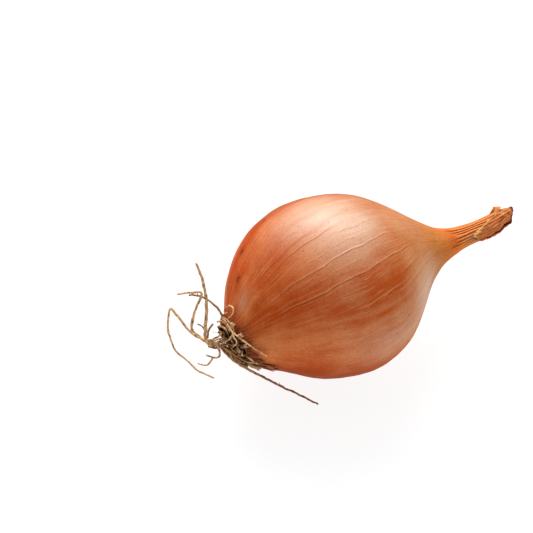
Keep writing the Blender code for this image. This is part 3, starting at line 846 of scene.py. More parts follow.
# %% [markdown]
# ## The withered leaf
#
# Out of the torn sheath stands the dead leaf: a stiff brown blade folded round on itself, open along a dark slit
# on its lower side. The slit's near lip is painted dark, as painted shade, and the far lip darkens towards the
# tip, as painted shade too. It starts with a pale rolled edge that lies over the neck's skin. It is a grid bent
# round into a gutter, with a row of points for each of the distances below, and the Solidify modifier gives it
# the thickness of dry leaf. Its lengthwise ridges are in the mesh, because they catch the light all along.

# %% The leaf's grid
# Distance along the bulb, then how far the blade stands off the axis at its top, its sides and its lips.
LEAF = (
    (35.0, 2.20, 2.10, 1.70), (37.5, 2.25, 2.25, 2.00), (40.0, 2.30, 2.35, 2.30), (42.5, 2.30, 2.38, 2.72),
    (45.0, 2.28, 2.32, 2.88), (48.0, 2.22, 2.14, 2.46), (50.0, 2.10, 1.88, 2.04), (51.0, 1.82, 1.65, 1.90),
    (52.0, 1.42, 1.38, 1.69), (53.0, 1.00, 0.98, 1.30), (53.6, 0.85, 0.60, 0.95),
)
NEAR_LIP, FAR_LIP = 148, -207  # degrees round the fold
ACROSS_LEAF, ALONG_LEAF = 230, 150


def add_grid(name, columns, rows):
    """A flat grid to be bent, and the share of each of its vertices across and along."""
    deselect()
    bpy.ops.mesh.primitive_grid_add(x_subdivisions=columns, y_subdivisions=rows, size=2 * MM)
    grid = bpy.context.object
    grid.name = name
    flat = np.clip((read_points(grid.data) + 1) / 2, 0, 1)
    return grid, flat[:, 0], flat[:, 1]


leaf, across, along_leaf = add_grid("folded_leaf", ACROSS_LEAF, ALONG_LEAF)
bend = np.radians(NEAR_LIP + (FAR_LIP - NEAR_LIP) * across)
leaf_x = LEAF[0][0] + (LEAF[-1][0] - LEAF[0][0]) * along_leaf
top, side, low_lip = (smooth([(row[0], row[k]) for row in LEAF], leaf_x) for k in (1, 2, 3))
print("leaf grid:", len(leaf.data.vertices), "vertices")

# %% Ridges and lumps of the leaf
from mathutils import noise as rough

rough.seed_set(1)  # its vector noise would start from the clock otherwise

ridges = -0.17 * neck_creases(leaf_x, bend) + 0.05 * np.sin(9 * bend + 0.3 * leaf_x)
broken = 0.5 + 0.5 * np.sin(3 * bend + 0.7 * leaf_x)
ridges += 0.035 * np.abs(np.sin(31 * bend + 1.5 * np.sin(0.8 * leaf_x))) * broken
ridges += 0.10 * np.sin(1.6 * leaf_x + 2 * bend) * np.sin(4 * bend + 0.5) * ease(leaf_x, 40, 43)
ridges *= 1 - 0.5 * ease(leaf_x, 51, 53.6)
lumps = np.array([rough.fractal(Vector((0.5 * lx, 1.7 * math.cos(b), 1.7 * math.sin(b))), 0.7, 2.3, 3)
                  for lx, b in zip(leaf_x, bend)])
lumps *= 0.24 * ease(leaf_x, 40, 42)
print("ridges up to", ridges.max().round(2), "mm, lumps up to", lumps.max().round(2), "mm")

# %% The rolled edge, the lips of the slit and the scar
EYE_X, EYE_ANGLE, EYE_RADIUS = 51.2, math.radians(80), 0.34  # the scar of a broken thread

facing = np.exp(-((np.degrees(bend) - 82) / 46) ** 4)  # where its edge is rolled
from_tear = leaf_x - torn_edge(bend) + 0.30 * np.sin(7 * bend + 2) * np.sin(1.3 * leaf_x)
from_tear = from_tear + 0.12 * np.sin(29 * bend)
rolled = np.exp(-((from_tear - 0.25) / (0.42 + 0.35 * (1 - ease(leaf_x, 40, 45)))) ** 2)
over = ease(from_tear, -0.5, 0.1) * np.exp(-np.maximum(from_tear - 0.1, 0) / 2.2)
near, far = np.exp(-(across / 0.020) ** 2), np.exp(-((1 - across) / 0.12) ** 2)  # the slit's two lips
from_eye = np.hypot(leaf_x - EYE_X, 1.65 * (bend - EYE_ANGLE))
eye_ring = np.exp(-((from_eye - EYE_RADIUS) / 0.13) ** 2)

inward = -0.12 * near * ease(leaf_x, 41, 45) + lumps + ridges - 0.14 * eye_ring
inward = inward + (0.38 * over + 0.22 * rolled) * facing
sunk = far * (0.28 + 0.22 * ease(leaf_x, 48.5, 50.5)) * (1 - 0.8 * ease(leaf_x, 51.5, 53.2))
inward += sunk * ease(leaf_x, 40.3, 41.6)
inward -= 0.30 * (1 - ease(leaf_x, 39.5, 41.0)) * (1 - facing)
print("the blade is moved by", inward.min().round(2), "to", inward.max().round(2), "mm")

# %% Bend the grid into the folded blade
notch = 3 * np.sin(1.9 * leaf_x) + 2 * np.sin(4.7 * leaf_x + 1)  # the lips aren't cut straight
bend = bend + np.radians(notch) * (2 * np.abs(across - 0.5)) ** 6
bend += np.radians(9) * (1 - ease(leaf_x, 41, 45.5)) * (1 - across) ** 8  # the slit closes towards the neck
up_bulb = np.array([0, math.cos(ROLL), math.sin(ROLL)])
to_camera_side = np.array([0, math.cos(ROLL + math.pi / 2), math.sin(ROLL + math.pi / 2)])
tall, hang = (top + low_lip) / 2, (top - low_lip) / 2
points = place(leaf_x, 0.0, hang) + np.outer((tall + inward) * np.cos(bend), up_bulb)
points += np.outer((side + inward) * np.sin(bend), to_camera_side)
tip_round = 0.8 * (np.cos(bend - 0.2) * 0.5 - 0.5) * ease(leaf_x, 50.5, 53.6)
points[:, 0] += tip_round - 0.06
write_points(leaf.data, points)
tip_from = leaf_x + 0.9 * ease(bend, math.radians(80), math.radians(140))
stored = {
    "grow": np.stack([np.cos(bend), np.sin(bend), leaf_x / 2.0], -1),
    "lip": near * ease(leaf_x, 41.5, 45.5),
    "far_lip_and_painted_shade": far,
    "crease": np.clip(neck_creases(leaf_x, bend), 0, 1),
    "eye": eye_ring,
    "rolled": rolled * facing,
    "tip": ease(tip_from, 52.2, 53.2),
}
for name, values in stored.items():
    keep(leaf.data, name, values)
print("leaf box", points.min(0).round(2), points.max(0).round(2))

# %% Give the leaf its thickness
LEAF_WALL = 0.22

# An open sheet has no inside, so its faces are turned over if they look at its own middle line.
face_outwards(leaf)
outside = np.array([p.normal for p in leaf.data.polygons])
centres = np.array([p.center for p in leaf.data.polygons]) / MM
spine = place(centres[:, 0], 0.0, 0.0)
if ((centres - spine) * outside).sum() < 0:
    leaf.data.flip_normals()
wall = leaf.modifiers.new("wall", "SOLIDIFY")
wall.thickness = LEAF_WALL * MM
wall.offset = -1
apply(leaf, wall)
bpy.ops.object.shade_smooth()
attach(leaf, "root")
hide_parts("withered_leaf")
print(2 * len(leaf.data.polygons), "triangles in the leaf")

# %% The leaf's material
WITHERED, tree, shader = new_material("withered leaf", 0.62)
growth = tree.attribute("grow", "Vector")
along = tree.add("ShaderNodeSeparateXYZ", None, Vector=growth).outputs["Z"]
streaks = tree.group(FIBRES, Growth=growth, Across=5.0, Along=0.35, Detail=4.0)
fine = tree.group(FIBRES, Growth=growth, Across=22.0, Along=1.0, Detail=2.0, Offset=2.3)
base = tree.ramp(tree.math("MULTIPLY_ADD", fine, 0.5, tree.math("MULTIPLY", streaks, 0.5)),
                 (0.34, colour(134, 56, 24)), (0.45, colour(188, 97, 46)), (0.54, colour(218, 136, 76)),
                 (0.66, colour(244, 184, 124)))
base = tree.stain_and_shade(base, tree.group(PATCHES, Size=2.2, From=0.50, To=0.66), 0.35, (166, 84, 34))
# Painted shade in the leaf's creases.
base = tree.stain_and_shade(base, "crease", 0.50, (116, 48, 18))
# The far lip is orange-brown, darkened towards the tip as painted shade.
far_lip_and_painted_shade = tree.mix(tree.span(along, 47.0 / 2, 51.0 / 2), colour(206, 98, 44), colour(126, 48, 20))
base = tree.stain_and_shade(base, "far_lip_and_painted_shade", 0.8, far_lip_and_painted_shade)
rolled = tree.math("MULTIPLY", tree.attribute("rolled"), tree.math("MULTIPLY_ADD", fine, 0.9, 0.35), clamp=True)
base = tree.mix(rolled, base, colour(255, 200, 128))
# The near lip is painted dark as painted shade along the slit.
for part, strength, shade in (("lip", 0.85, (120, 44, 18)), ("eye", 0.8, (110, 52, 22)),
                              ("tip", 0.9, (112, 38, 14))):
    base = tree.stain_and_shade(base, part, strength, shade)
tree.put(shader.inputs["Base Color"], base)
tree.put(shader.inputs["Roughness"], tree.math("MULTIPLY_ADD", streaks, 0.3, 0.45))
tree.put(shader.inputs["Normal"], tree.bump(fine, 0.7, 0.06))
leaf.data.materials.append(WITHERED)
print("leaf material:", len(WITHERED.node_tree.nodes), "nodes")

# %% [markdown]
# ## The root plate
#
# The plate is the bulb's true stem, a corky disc that the roots grew out of. It is hardly seen through its
# roots, but its darkness between them makes the tuft look deep: it is dark cork, made darker still as painted
# shade for the gaps between the roots. A flattened ball, sunk in the dish of the skin and roughened by noise, is
# enough.

# %% The corky plate
DISH_RADIUS = 4.9
deselect()
bpy.ops.mesh.primitive_uv_sphere_add(segments=72, ring_count=36, radius=MM)
plate = bpy.context.object
plate.name = "root_plate"
ball = read_points(plate.data)
across_plate = np.hypot(ball[:, 1], ball[:, 2])
turned_by = np.arctan2(ball[:, 2], ball[:, 1])
lumps = np.array([rough.fractal(Vector(b) * 4.5, 0.9, 2.2, 4) for b in ball])
outward = -0.3 + 1.25 * -ball[:, 0] + 0.35 * lumps
points = place(ROOT_END - outward, turned_by, (DISH_RADIUS - 0.25) * across_plate ** 0.9)
write_points(plate.data, points)
select_only(plate)
bpy.ops.object.shade_smooth()
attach(plate, "root")
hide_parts("root_tuft")
PLATE_NORMAL = Vector((-1, -ROOT_SLANT * math.cos(ROLL), -ROOT_SLANT * math.sin(ROLL))).normalized()
print("plate box", points.min(0).round(2), points.max(0).round(2))

# %% [markdown]
# ## The roots
#
# A dry root is a thin crooked thread, thicker at its foot. Each is drawn as a curve through a few points, with
# a small wobble between them and a radius at every point, and Blender's bevel makes a tube of it. The tube is
# turned into a mesh, and it stores how light the root is at its foot and at its end. The longest roots are
# placed along the solids' own routes, and some of them have side rootlets. The matted ones on the plate
# are drawn by lot. Every lot starts from a fixed number, so that each run grows the same roots.

# %% A crooked route
def crooked(route, step, wobble, rng):
    """A finer route through the same points, with a wobble that is nothing at both ends."""
    route = [Vector(p) for p in route]
    fine = []
    for k in range(len(route) - 1):
        p0, p1, p2, p3 = (route[min(max(k + j, 0), len(route) - 1)] for j in (-1, 0, 1, 2))
        count = max(1, round((p2 - p1).length / step))
        for j in range(count):
            t = j / count
            fine.append(0.5 * ((2 * p1) + (p2 - p0) * t + (2 * p0 - 5 * p1 + 4 * p2 - p3) * t * t
                               + (3 * p1 - p0 - 3 * p2 + p3) * t ** 3))
    fine.append(route[-1])
    seed = Vector((rng.uniform(0, 50), rng.uniform(0, 50), rng.uniform(0, 50)))
    for k in range(1, len(fine)):
        calm = min(1, k / 3)
        fine[k] = fine[k] + wobble * calm * (rough.noise_vector(seed + fine[k] * 0.7)
                                            + 0.6 * rough.noise_vector(seed + fine[k] * 1.9)
                                            + 0.15 * rough.noise_vector(seed + fine[k] * 4.3))
    return fine


straight = crooked([(0, 0, 0), (10, 0, 0)], 1.0, 0.2, random.Random(1))
print("a route of 10 mm has", len(straight), "points")

# %% One root
ROOT_SIDES = 1  # bevel resolution: six sides round a root


def grow_root(name, route, thick, shade, rng, thin_end=0.4, sides=ROOT_SIDES):
    """A root along the route: this thick at its foot, in millimetres, with knots and a thinner end."""
    deselect()
    bpy.ops.curve.primitive_nurbs_path_add()
    thread = bpy.context.object
    thread.name = name
    line = thread.data.splines[0]
    if len(route) > len(line.points):
        line.points.add(len(route) - len(line.points))
    seed = rng.uniform(0, 99)
    for k, point in enumerate(line.points):
        at_point = Vector(route[min(k, len(route) - 1)])
        share = k / max(1, len(route) - 1)
        point.co = (*(at_point * MM), 1)
        knots = 1 + 0.34 * rough.noise(Vector((seed, at_point.length * 1.3, k * 0.9)))
        point.radius = max(0.05, (1 - (1 - thin_end) * min(1, share) ** 1.5) * knots)
    line.order_u = 3
    line.use_endpoint_u = True
    thread.data.resolution_u = 2
    thread.data.bevel_depth = thick / 2 * MM
    thread.data.bevel_resolution = sides
    thread.data.use_fill_caps = True
    bpy.ops.object.convert(target="MESH")
    thread = bpy.context.object
    where = read_points(thread.data)
    route_points = np.array([tuple(p) for p in route])
    nearest = np.argmin(((where[:, None] - route_points[None]) ** 2).sum(-1), axis=1)
    along = nearest / max(1, len(route) - 1)
    foot_shade, end_shade = shade if isinstance(shade, tuple) else (shade, shade)
    keep(thread.data, "shade", foot_shade + (end_shade - foot_shade) * np.clip(2 * along, 0, 1))
    return thread


print("a root has", 4 + 2 * ROOT_SIDES, "sides")

# %% Many roots as one piece
def join(name, pieces, merge=True):
    """Makes one piece of these, with its faces turned outwards."""
    select_only(*pieces)
    bpy.ops.object.join()
    joined = bpy.context.object
    joined.name = name
    face_outwards(joined, merge)
    return joined


def bundle(name, threads):
    """Joins roots into one piece, which stores how deep in the tuft each of its vertices is."""
    joined = join(name, threads)
    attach(joined, "root")
    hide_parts("root_tuft")
    joined.data.calc_loop_triangles()
    where = read_points(joined.data)
    from_plate = where - np.array(place(ROOT_END, 0, 0))
    above = from_plate @ np.array(PLATE_NORMAL)
    beside = np.linalg.norm(from_plate - np.outer(above, PLATE_NORMAL), axis=1)
    keep(joined.data, "deep", (1 - ease(above, 0.3, 1.5)) * (1 - ease(beside, 5.2, 6.4)))
    print(name, len(threads), "roots,", len(joined.data.loop_triangles), "triangles, box",
          where.min(0).round(1), where.max(0).round(1))
    return joined


def any_way(rng, spread=1.0, sag=0.0):
    """A random way, which sags a little if asked."""
    return Vector((rng.gauss(0, spread), rng.gauss(0, spread), rng.gauss(0, spread) - sag))


print("root helpers ready")

# %% Places on the root end
def on_plate(radius, angle, outward):
    """A point of the plate's face, in millimetres, this far out along its normal."""
    return Vector(place(ROOT_END - outward, angle, radius))


def along_plate(angle):
    """The way across the plate towards this angle."""
    return Vector((-math.cos(angle) * ROOT_SLANT, math.cos(angle + ROLL), math.sin(angle + ROLL))).normalized()


def on_root_end(radius, degrees, height):
    """A point this high above the plate, or above the skin where the radius goes beyond the plate's rim."""
    x = float(np.interp(radius, (0, 5.3, 7.6, 10.4, 13.1, 16.4), (-30, -30, -27.5, -25, -22.5, -18.6)))
    tilt = 0.80 * float(ease(radius, 4.2, 7.5))
    return Vector(place(x - height * math.cos(tilt), math.radians(degrees), radius + height * math.sin(tilt)))


print("the plate's middle:", [round(v, 1) for v in on_plate(0, 0, 0)])

# %% The long stray roots
# Each: how thick, how light, and the points that it passes.
STRAYS = {
    "upright": (0.86, 0.85, ((-35.6, .3, 22.6), (-36.1, 1.0, 23.2), (-36.1, 1.9, 24.2), (-35.5, 3, 26),
                             (-34, 5, 28), (-33, 6.5, 29.5), (-32.5, 7.5, 31.5), (-32, 9, 33.5),
                             (-31.5, 11, 35), (-31.5, 13.4, 37.9))),
    "forked": (0.70, 0.80, ((-35.9, 1, 23), (-37.5, 2.5, 25), (-38.5, 4, 26.5), (-37.5, 5.5, 28.5),
                            (-35, 7.5, 30), (-33, 8.5, 32.5), (-35, 9.5, 33), (-38.5, 10.5, 33.5))),
    "looped": (0.66, 0.95, ((-33.5, 0, 23.2), (-35, .4, 22.8), (-37.5, 2, 25), (-39, 3.5, 26.5), (-40, 5.5, 28.5),
                            (-40.5, 7.5, 30), (-41.5, 9, 31.5), (-43, 7.5, 30), (-43.9, 6, 28), (-44.1, 4.5, 26),
                            (-44.1, 2.5, 24), (-42.5, 0, 22), (-41, -2.5, 19.5), (-38, -5, 17.5))),
    "low_curl": (0.62, 0.80, ((-33.6, -.2, 22.9), (-34.5, -.4, 22.6), (-34.3, -1.5, 21.9), (-34.8, -2.5, 20.9),
                              (-35.9, -2.1, 20.8), (-36.8, -1.3, 21.0), (-37.5, -.6, 21.1))),
    "low_branch": (0.48, 0.85, ((-36.3, -1.8, 20.8), (-37.0, -2.1, 20.3), (-37.6, -2.3, 19.9),
                                (-38.4, -2.2, 19.5), (-39.2, -1.5, 19.6), (-40.1, -.8, 19.8))),
    "long_brown": (0.66, (0.75, 0.20), ((-30.5, -2, 20), (-32.5, -4, 20.5), (-31, -6.5, 19), (-29, -8, 17),
                                        (-25.5, -9.5, 13), (-22, -11, 9), (-19, -12.5, 6), (-14.5, -15.4, 1.7))),
    "knot": (1.00, 0.65, ((-36.0, 1.4, 24.0), (-35.8, .8, 23.0), (-35.2, .1, 22.6), (-34.2, -.1, 22.9),
                          (-33.0, -.1, 23.0), (-31.2, -.4, 22.6))),
    "knot_arm": (0.62, 0.90, ((-35.4, .6, 23.2), (-34.7, .9, 23.8), (-33.6, .8, 24.1), (-32.6, .8, 24.4),
                              (-32.0, .9, 24.9))),
    "knot_turn": (0.75, 0.65, ((-35.9, 1.2, 23.1), (-35.2, .9, 23.9), (-34.6, .2, 23.4), (-34.1, -.4, 22.5),
                               (-32.6, -1.0, 22.2), (-31.2, -1.2, 22))),
    "knot_top": (0.50, 0.95, ((-36.3, 1.6, 23.8), (-35.5, 1.0, 23.7), (-34.5, .5, 23.5), (-33.0, .5, 23.6),
                              (-31.6, .2, 23.2))),
    "knot_under": (0.55, 0.30, ((-36.2, .4, 22.7), (-35.2, -.3, 22.1), (-33.8, -.8, 22.2), (-32.4, -.8, 21.9),
                                (-31.0, -1.0, 21.5))),
    "shred_left": (0.42, 0.50, ((-36.2, 5.4, 26.0), (-35.6, 4.5, 25.7), (-35.4, 3.2, 24.8), (-35.9, 2.0, 23.8))),
    "shred_right": (0.60, 0.45, ((-33.0, 3.5, 26.0), (-33.9, 3.2, 25.5), (-34.8, 2.8, 24.8), (-35.5, 1.9, 23.9))),
}
ROOTLET_EVERY = 18  # a side rootlet for so many points of a root
rng = random.Random(8)
threads = []
for name, (thick, shade, route) in STRAYS.items():
    route = crooked(route, 0.55, 0.16, rng)
    threads.append(grow_root(name, route, thick, shade, rng, 0.7))
    for _ in range(len(route) // ROOTLET_EVERY):
        start = rng.randrange(4, len(route) - 2)
        way = any_way(rng).normalized()
        spur = [route[start] + way * k * 0.4 + Vector((0, 0, -0.04 * k * k)) for k in range(rng.randint(2, 4))]
        threads.append(grow_root(name + "_spur", crooked(spur, 0.4, 0.2, rng), 0.20, shade, rng, 0.3, 0))
print(len(threads), "stray roots and rootlets")

# %% [markdown]
# ### Roots that lie on the root end
#
# Over the mat lie single roots that anyone would notice: hooks, loops and strands that follow the plate's rim.
# They are placed one by one like the stray ones, but by their distance from the plate's middle, the degrees
# round it and the height above the plate or the skin, so that each of them lies on what is under it.

# %% Roots laid on the root end
# Each: how thick, how light, then distance from the middle, degrees round it and height of each point.
LAID = (
    (0.50, 0.80, ((6.3, 347, 1.0), (6.2, 19, 1.1), (6.0, 36, 1.0), (5.5, 52, 0.8), (4.9, 60, 0.5))),
    (0.52, 0.75, ((5.4, 12, 1.0), (5.5, 29, 1.2), (5.4, 44, 1.0), (3.9, 46, 0.6))),
    (0.46, 0.70, ((4.5, 344, 0.9), (3.9, 14, 1.0), (2.8, 16, 0.6))),
    (0.46, 0.60, ((6.7, 13, 1.0), (6.8, 29, 1.1), (6.6, 43, 1.0), (6.2, 54, 0.7), (5.7, 62, 0.5))),
    (0.38, 1.00, ((5.3, 283, 1.8), (3.6, 286, 1.8), (1.7, 320, 1.8), (3.9, 66, 1.6), (5.4, 69, 1.4),
                  (5.8, 63, 1.0))),
    (0.44, 0.90, ((6.0, 60, 1.2), (5.7, 73, 1.5), (5.6, 86, 1.5), (4.8, 92, 1.4), (3.5, 93, 1.2),
                  (1.5, 110, 1.0))),
    (0.58, 0.75, ((5.1, 278, 1.3), (2.9, 243, 1.2), (3.4, 175, 1.1), (5.4, 153, 1.0), (6.6, 150, 0.9))),
    (0.52, 0.45, ((4.2, 262, 1.4), (3.4, 222, 1.3), (4.4, 180, 1.2), (5.6, 165, 1.1))),
    (0.66, 0.55, ((5.3, 275, 1.6), (5.4, 250, 1.5), (5.4, 228, 1.3), (5.6, 205, 1.1), (6.0, 190, 0.8))),
    (0.55, 0.30, ((4.6, 288, 0.7), (4.8, 262, 0.7), (5.0, 240, 0.6), (5.2, 215, 0.5), (5.6, 195, 0.4))),
    (0.60, 0.10, ((5.0, 262, 0.2), (5.2, 240, 0.2), (5.4, 220, 0.2), (5.8, 200, 0.2))),
    (0.50, 0.65, ((4.9, 300, 1.0), (4.6, 275, 1.1), (4.7, 250, 1.0), (4.9, 225, 0.9), (5.3, 200, 0.6))),
    (0.42, 0.95, ((2.1, 187, 0.9), (2.8, 164, 1.0), (4.2, 140, 1.0), (5.4, 129, 0.8))),
    (0.60, 0.80, ((4.6, 128, 0.7), (5.7, 138, 0.7), (6.8, 157, 0.6))),
    (0.52, 0.95, ((6.5, 16, 0.8), (6.5, 28, 1.0), (5.9, 50, 0.9), (5.8, 69, 0.9), (6.2, 88, 0.9), (7.3, 116, 0.8),
                  (8.6, 131, 0.5))),
    (0.46, 1.00, ((8.0, 2, 0.4), (8.5, 9, 0.5), (9.0, 21, 0.6), (9.0, 32, 0.7), (8.3, 36, 0.7), (7.4, 34, 0.7),
                  (6.9, 28, 0.5))),
    (0.55, 0.90, ((6.9, 5, 0.6), (7.4, 12, 0.6), (7.8, 16, 0.4))),
    (0.60, 0.95, ((6.6, 355, 0.5), (7.3, 4, 0.6), (7.2, 10, 0.4))),
    (0.85, 0.75, ((4.8, 172, 0.8), (6.2, 168, 1.0), (7.4, 165, 1.2))),
    (0.50, 0.35, ((5.8, 178, 0.5), (7.2, 170, 0.5), (8.8, 163, 0.5), (10.2, 158, 0.4))),
    (0.62, 0.15, ((5.2, 282, 1.15), (5.3, 255, 1.1), (5.4, 230, 1.0), (5.6, 208, 0.85), (5.9, 192, 0.6))),
    (0.56, 0.10, ((4.0, 285, 1.2), (4.4, 260, 1.1), (4.8, 235, 1.0), (5.2, 210, 0.8))),
)
for thick, shade, route in LAID:
    route = crooked([on_root_end(*point) for point in route], 0.45, 0.10, rng)
    threads.append(grow_root("laid", route, thick, shade, rng, 0.75))
backward = [on_root_end(7.0, 8, 0.7), (-30.9, 5.2, 29.3), (-32.6, 7.6, 31.2), (-34.6, 9.3, 32.0),
            (-36.0, 9.5, 32.5)]
threads.append(grow_root("backward", crooked(backward, 0.5, 0.14, rng), 0.55, 0.55, rng, 0.8))
strays = bundle("stray_roots", threads)

# %% [markdown]
# ### The mat and the hairs
#
# Under the stray roots the plate is covered by a mat of short ones, mostly combed one way, with hairs between
# them. Nobody could tell one from another, so they are grown by lot: each starts on the plate, feels its way in
# short steps, and is pulled back to its own level above the plate. Points that get into the bulb are moved out.

# %% Keep roots out of the bulb
def keep_off_skin(route, margin):
    """Moves a root's points out of the bulb and off the ground."""
    kept = []
    for p in route:
        for _ in range(3):
            sway = float(smooth(SWAY, p.x))
            dy, dz = p.y - sway * math.cos(ROLL), p.z - AXIS_HEIGHT - sway * math.sin(ROLL)
            away, turn = math.hypot(dy, dz), math.atan2(dz, dy) - ROLL
            along = p.x + away * math.cos(turn) * ROOT_SLANT * (1 - float(ease(p.x, ROOT_END, LEAN_UNTIL)))
            inside = float(belly_radius(max(along, ROOT_END), turn)) + margin - away
            if along < ROOT_END - margin or inside <= 0:
                break
            if away < DISH_RADIUS + 0.6 and along < ROOT_END + 2:
                p = p + PLATE_NORMAL * (along - ROOT_END + margin)
            else:
                p = p + Vector((0, dy, dz)) / max(away, 0.1) * inside
        kept.append(Vector((p.x, p.y, max(p.z, 0.3))))
    return kept


freed = keep_off_skin([Vector((0, 0, AXIS_HEIGHT + BELLY_RADIUS))], 0.3)[0]
print("a point on the belly's top is moved to", [round(v, 1) for v in freed])

# %% The mat of roots on the plate
rng = random.Random(21)
threads = []
MAT = 34
MAT_RADIUS, MAT_REACH = 5.0, 6.3  # where its roots start, and how far from the plate's middle they may go
COMBED = 135  # the way that most of them lie, in degrees round the plate
for k in range(MAT):
    radius = MAT_RADIUS * math.sqrt((k + 0.5) / MAT)
    angle = k * math.pi * (3 - math.sqrt(5))
    point = on_plate(radius, angle, 0.1)
    combed = along_plate(math.radians(COMBED + rng.gauss(0, 22)))
    level = rng.choice((0.3, 0.5, 0.8, 1.1))
    way = (PLATE_NORMAL * 0.8 + combed * 0.6).normalized()
    route = [point]
    for j in range(rng.randint(3, 8)):
        point = point + way * 0.65
        if (point - on_plate(0, 0, 0)).length > MAT_REACH:
            break
        route.append(point)
        height = (point - on_plate(0, 0, 0)).dot(PLATE_NORMAL)
        pull = PLATE_NORMAL * (level - height) * 0.6
        way = (way * 0.55 + combed * 0.6 + pull + any_way(rng) * 0.20).normalized()
    route = keep_off_skin(crooked(route, 0.4, 0.09, rng), 0.3)
    thick = rng.choice((0.40, 0.48, 0.56, 0.66, 0.76))
    # Painted shade: roots on the lower levels, under the others, are given darker colours.
    lightness = rng.choice((0.0, 0.1, 0.25) if level < 0.6 else (0.1, 0.4, 0.8, 1.0))
    threads.append(grow_root("mat", route, thick, lightness, rng, 0.6))
mat = bundle("root_mat", threads)

# %% Fine hairs among the roots
rng = random.Random(4)
threads = []
HAIRS = 26
for k in range(HAIRS):
    radius, angle = rng.uniform(1.5, 5.2), rng.uniform(0, math.tau)
    point = on_plate(radius, angle, rng.uniform(0.1, 0.7))
    way = PLATE_NORMAL * rng.uniform(0.0, 0.5) + along_plate(angle) * rng.uniform(0.2, 1.0)
    way = (way + any_way(rng, 0.4)).normalized()
    route = [point]
    for _ in range(rng.randint(3, 7)):
        point = point + way * 0.5
        route.append(point)
        way = (way + any_way(rng, 0.4, sag=0.05)).normalized()
    route = keep_off_skin(route, 0.15)
    threads.append(grow_root("hair", route, rng.uniform(0.10, 0.18), rng.uniform(0.1, 0.8), rng, 0.4, 0))
hairs = bundle("root_hairs", threads)

# %% [markdown]
# ## Cut stubs
#
# Round the plate's rim stand the stubs of roots that were cut or broken off, pale and corky, pressed against
# the skin. One stub is modelled: a short cylinder, cut into rings, its end inset and dished. It is copied
# round the rim, each copy a little different in length, thickness and lean.

# %% One stub
deselect()
bpy.ops.mesh.primitive_cylinder_add(vertices=14, radius=0.5 * MM, depth=1 * MM, location=(0, 0, 0.5 * MM))
stub = bpy.context.object
bpy.ops.object.transform_apply(location=True, rotation=True, scale=True)
bpy.ops.object.mode_set(mode="EDIT")
bpy.ops.mesh.select_all(action="DESELECT")
bpy.ops.object.mode_set(mode="OBJECT")
for face in stub.data.polygons:
    face.select = face.normal.z > 0.9
bpy.ops.object.mode_set(mode="EDIT")
for thickness, sink in ((0.10, 0), (0.12, 0.08), (0.14, 0.05)):
    bpy.ops.mesh.inset(thickness=thickness * MM, depth=-sink * MM)
bpy.ops.mesh.poke()
for height in (0.35, 0.68):
    bpy.ops.mesh.select_all(action="SELECT")
    bpy.ops.mesh.bisect(plane_co=(0, 0, height * MM), plane_no=(0, 0, 1))
bpy.ops.object.mode_set(mode="OBJECT")
stub_shape = read_points(stub.data)
print("one stub has", len(stub_shape), "vertices")

# %% Its copies round the rim
# Angle in degrees, how far from the plate's middle, length and thickness.
STUBS = (
    (33, 5.9, 1.1, 0.80), (47, 6.5, 1.5, 1.20), (63, 5.5, 1.0, 0.70), (77, 6.3, 1.5, 1.15),
    (103, 5.7, 1.9, 1.10), (131, 5.0, 1.2, 0.75), (150, 4.9, 1.3, 0.80), (178, 5.0, 1.2, 0.70),
    (204, 4.9, 1.5, 0.90), (232, 5.0, 1.3, 0.80), (262, 4.9, 1.4, 0.95), (290, 4.9, 1.2, 0.75),
    (318, 5.0, 1.4, 0.85), (342, 5.2, 1.3, 0.80), (8, 5.6, 1.1, 0.75),
)
rng = random.Random(3)
stubs = []
for degrees, radius, long, thick in STUBS:
    foot = on_root_end(radius - long / 2, degrees, 0.35)
    way = (on_root_end(radius + long / 2, degrees, rng.uniform(0.45, 0.75)) - foot).normalized()
    side = way.cross(Vector((0.3, 1, 0.2))).normalized()
    turned = Matrix((side, way.cross(side), way)).transposed()
    copy = stub.copy()
    copy.data = stub.data.copy()
    scene.collection.objects.link(copy)
    placed = []
    for x, y, z in stub_shape:
        bulge = 1 + 0.18 * rough.noise(Vector((x * 3, y * 3, z * 3 + degrees)))
        placed.append(tuple(foot + turned @ Vector((x * thick * bulge, y * thick * bulge, z * long))))
    write_points(copy.data, np.array(placed))
    keep(copy.data, "shade", np.full(len(placed), rng.uniform(0.7, 1.0)))
    stubs.append(copy)
bpy.data.objects.remove(stub)
stubs = bundle("cut_stubs", stubs)

# %% [markdown]
# ## Shreds of skin
#
# The outer skins tore where they met the roots, and dry curled flakes of them stay there. Each flake is a small
# grid, bent over the bulb and lifted at its torn end, with a ragged edge, and Solidify gives it its thickness.

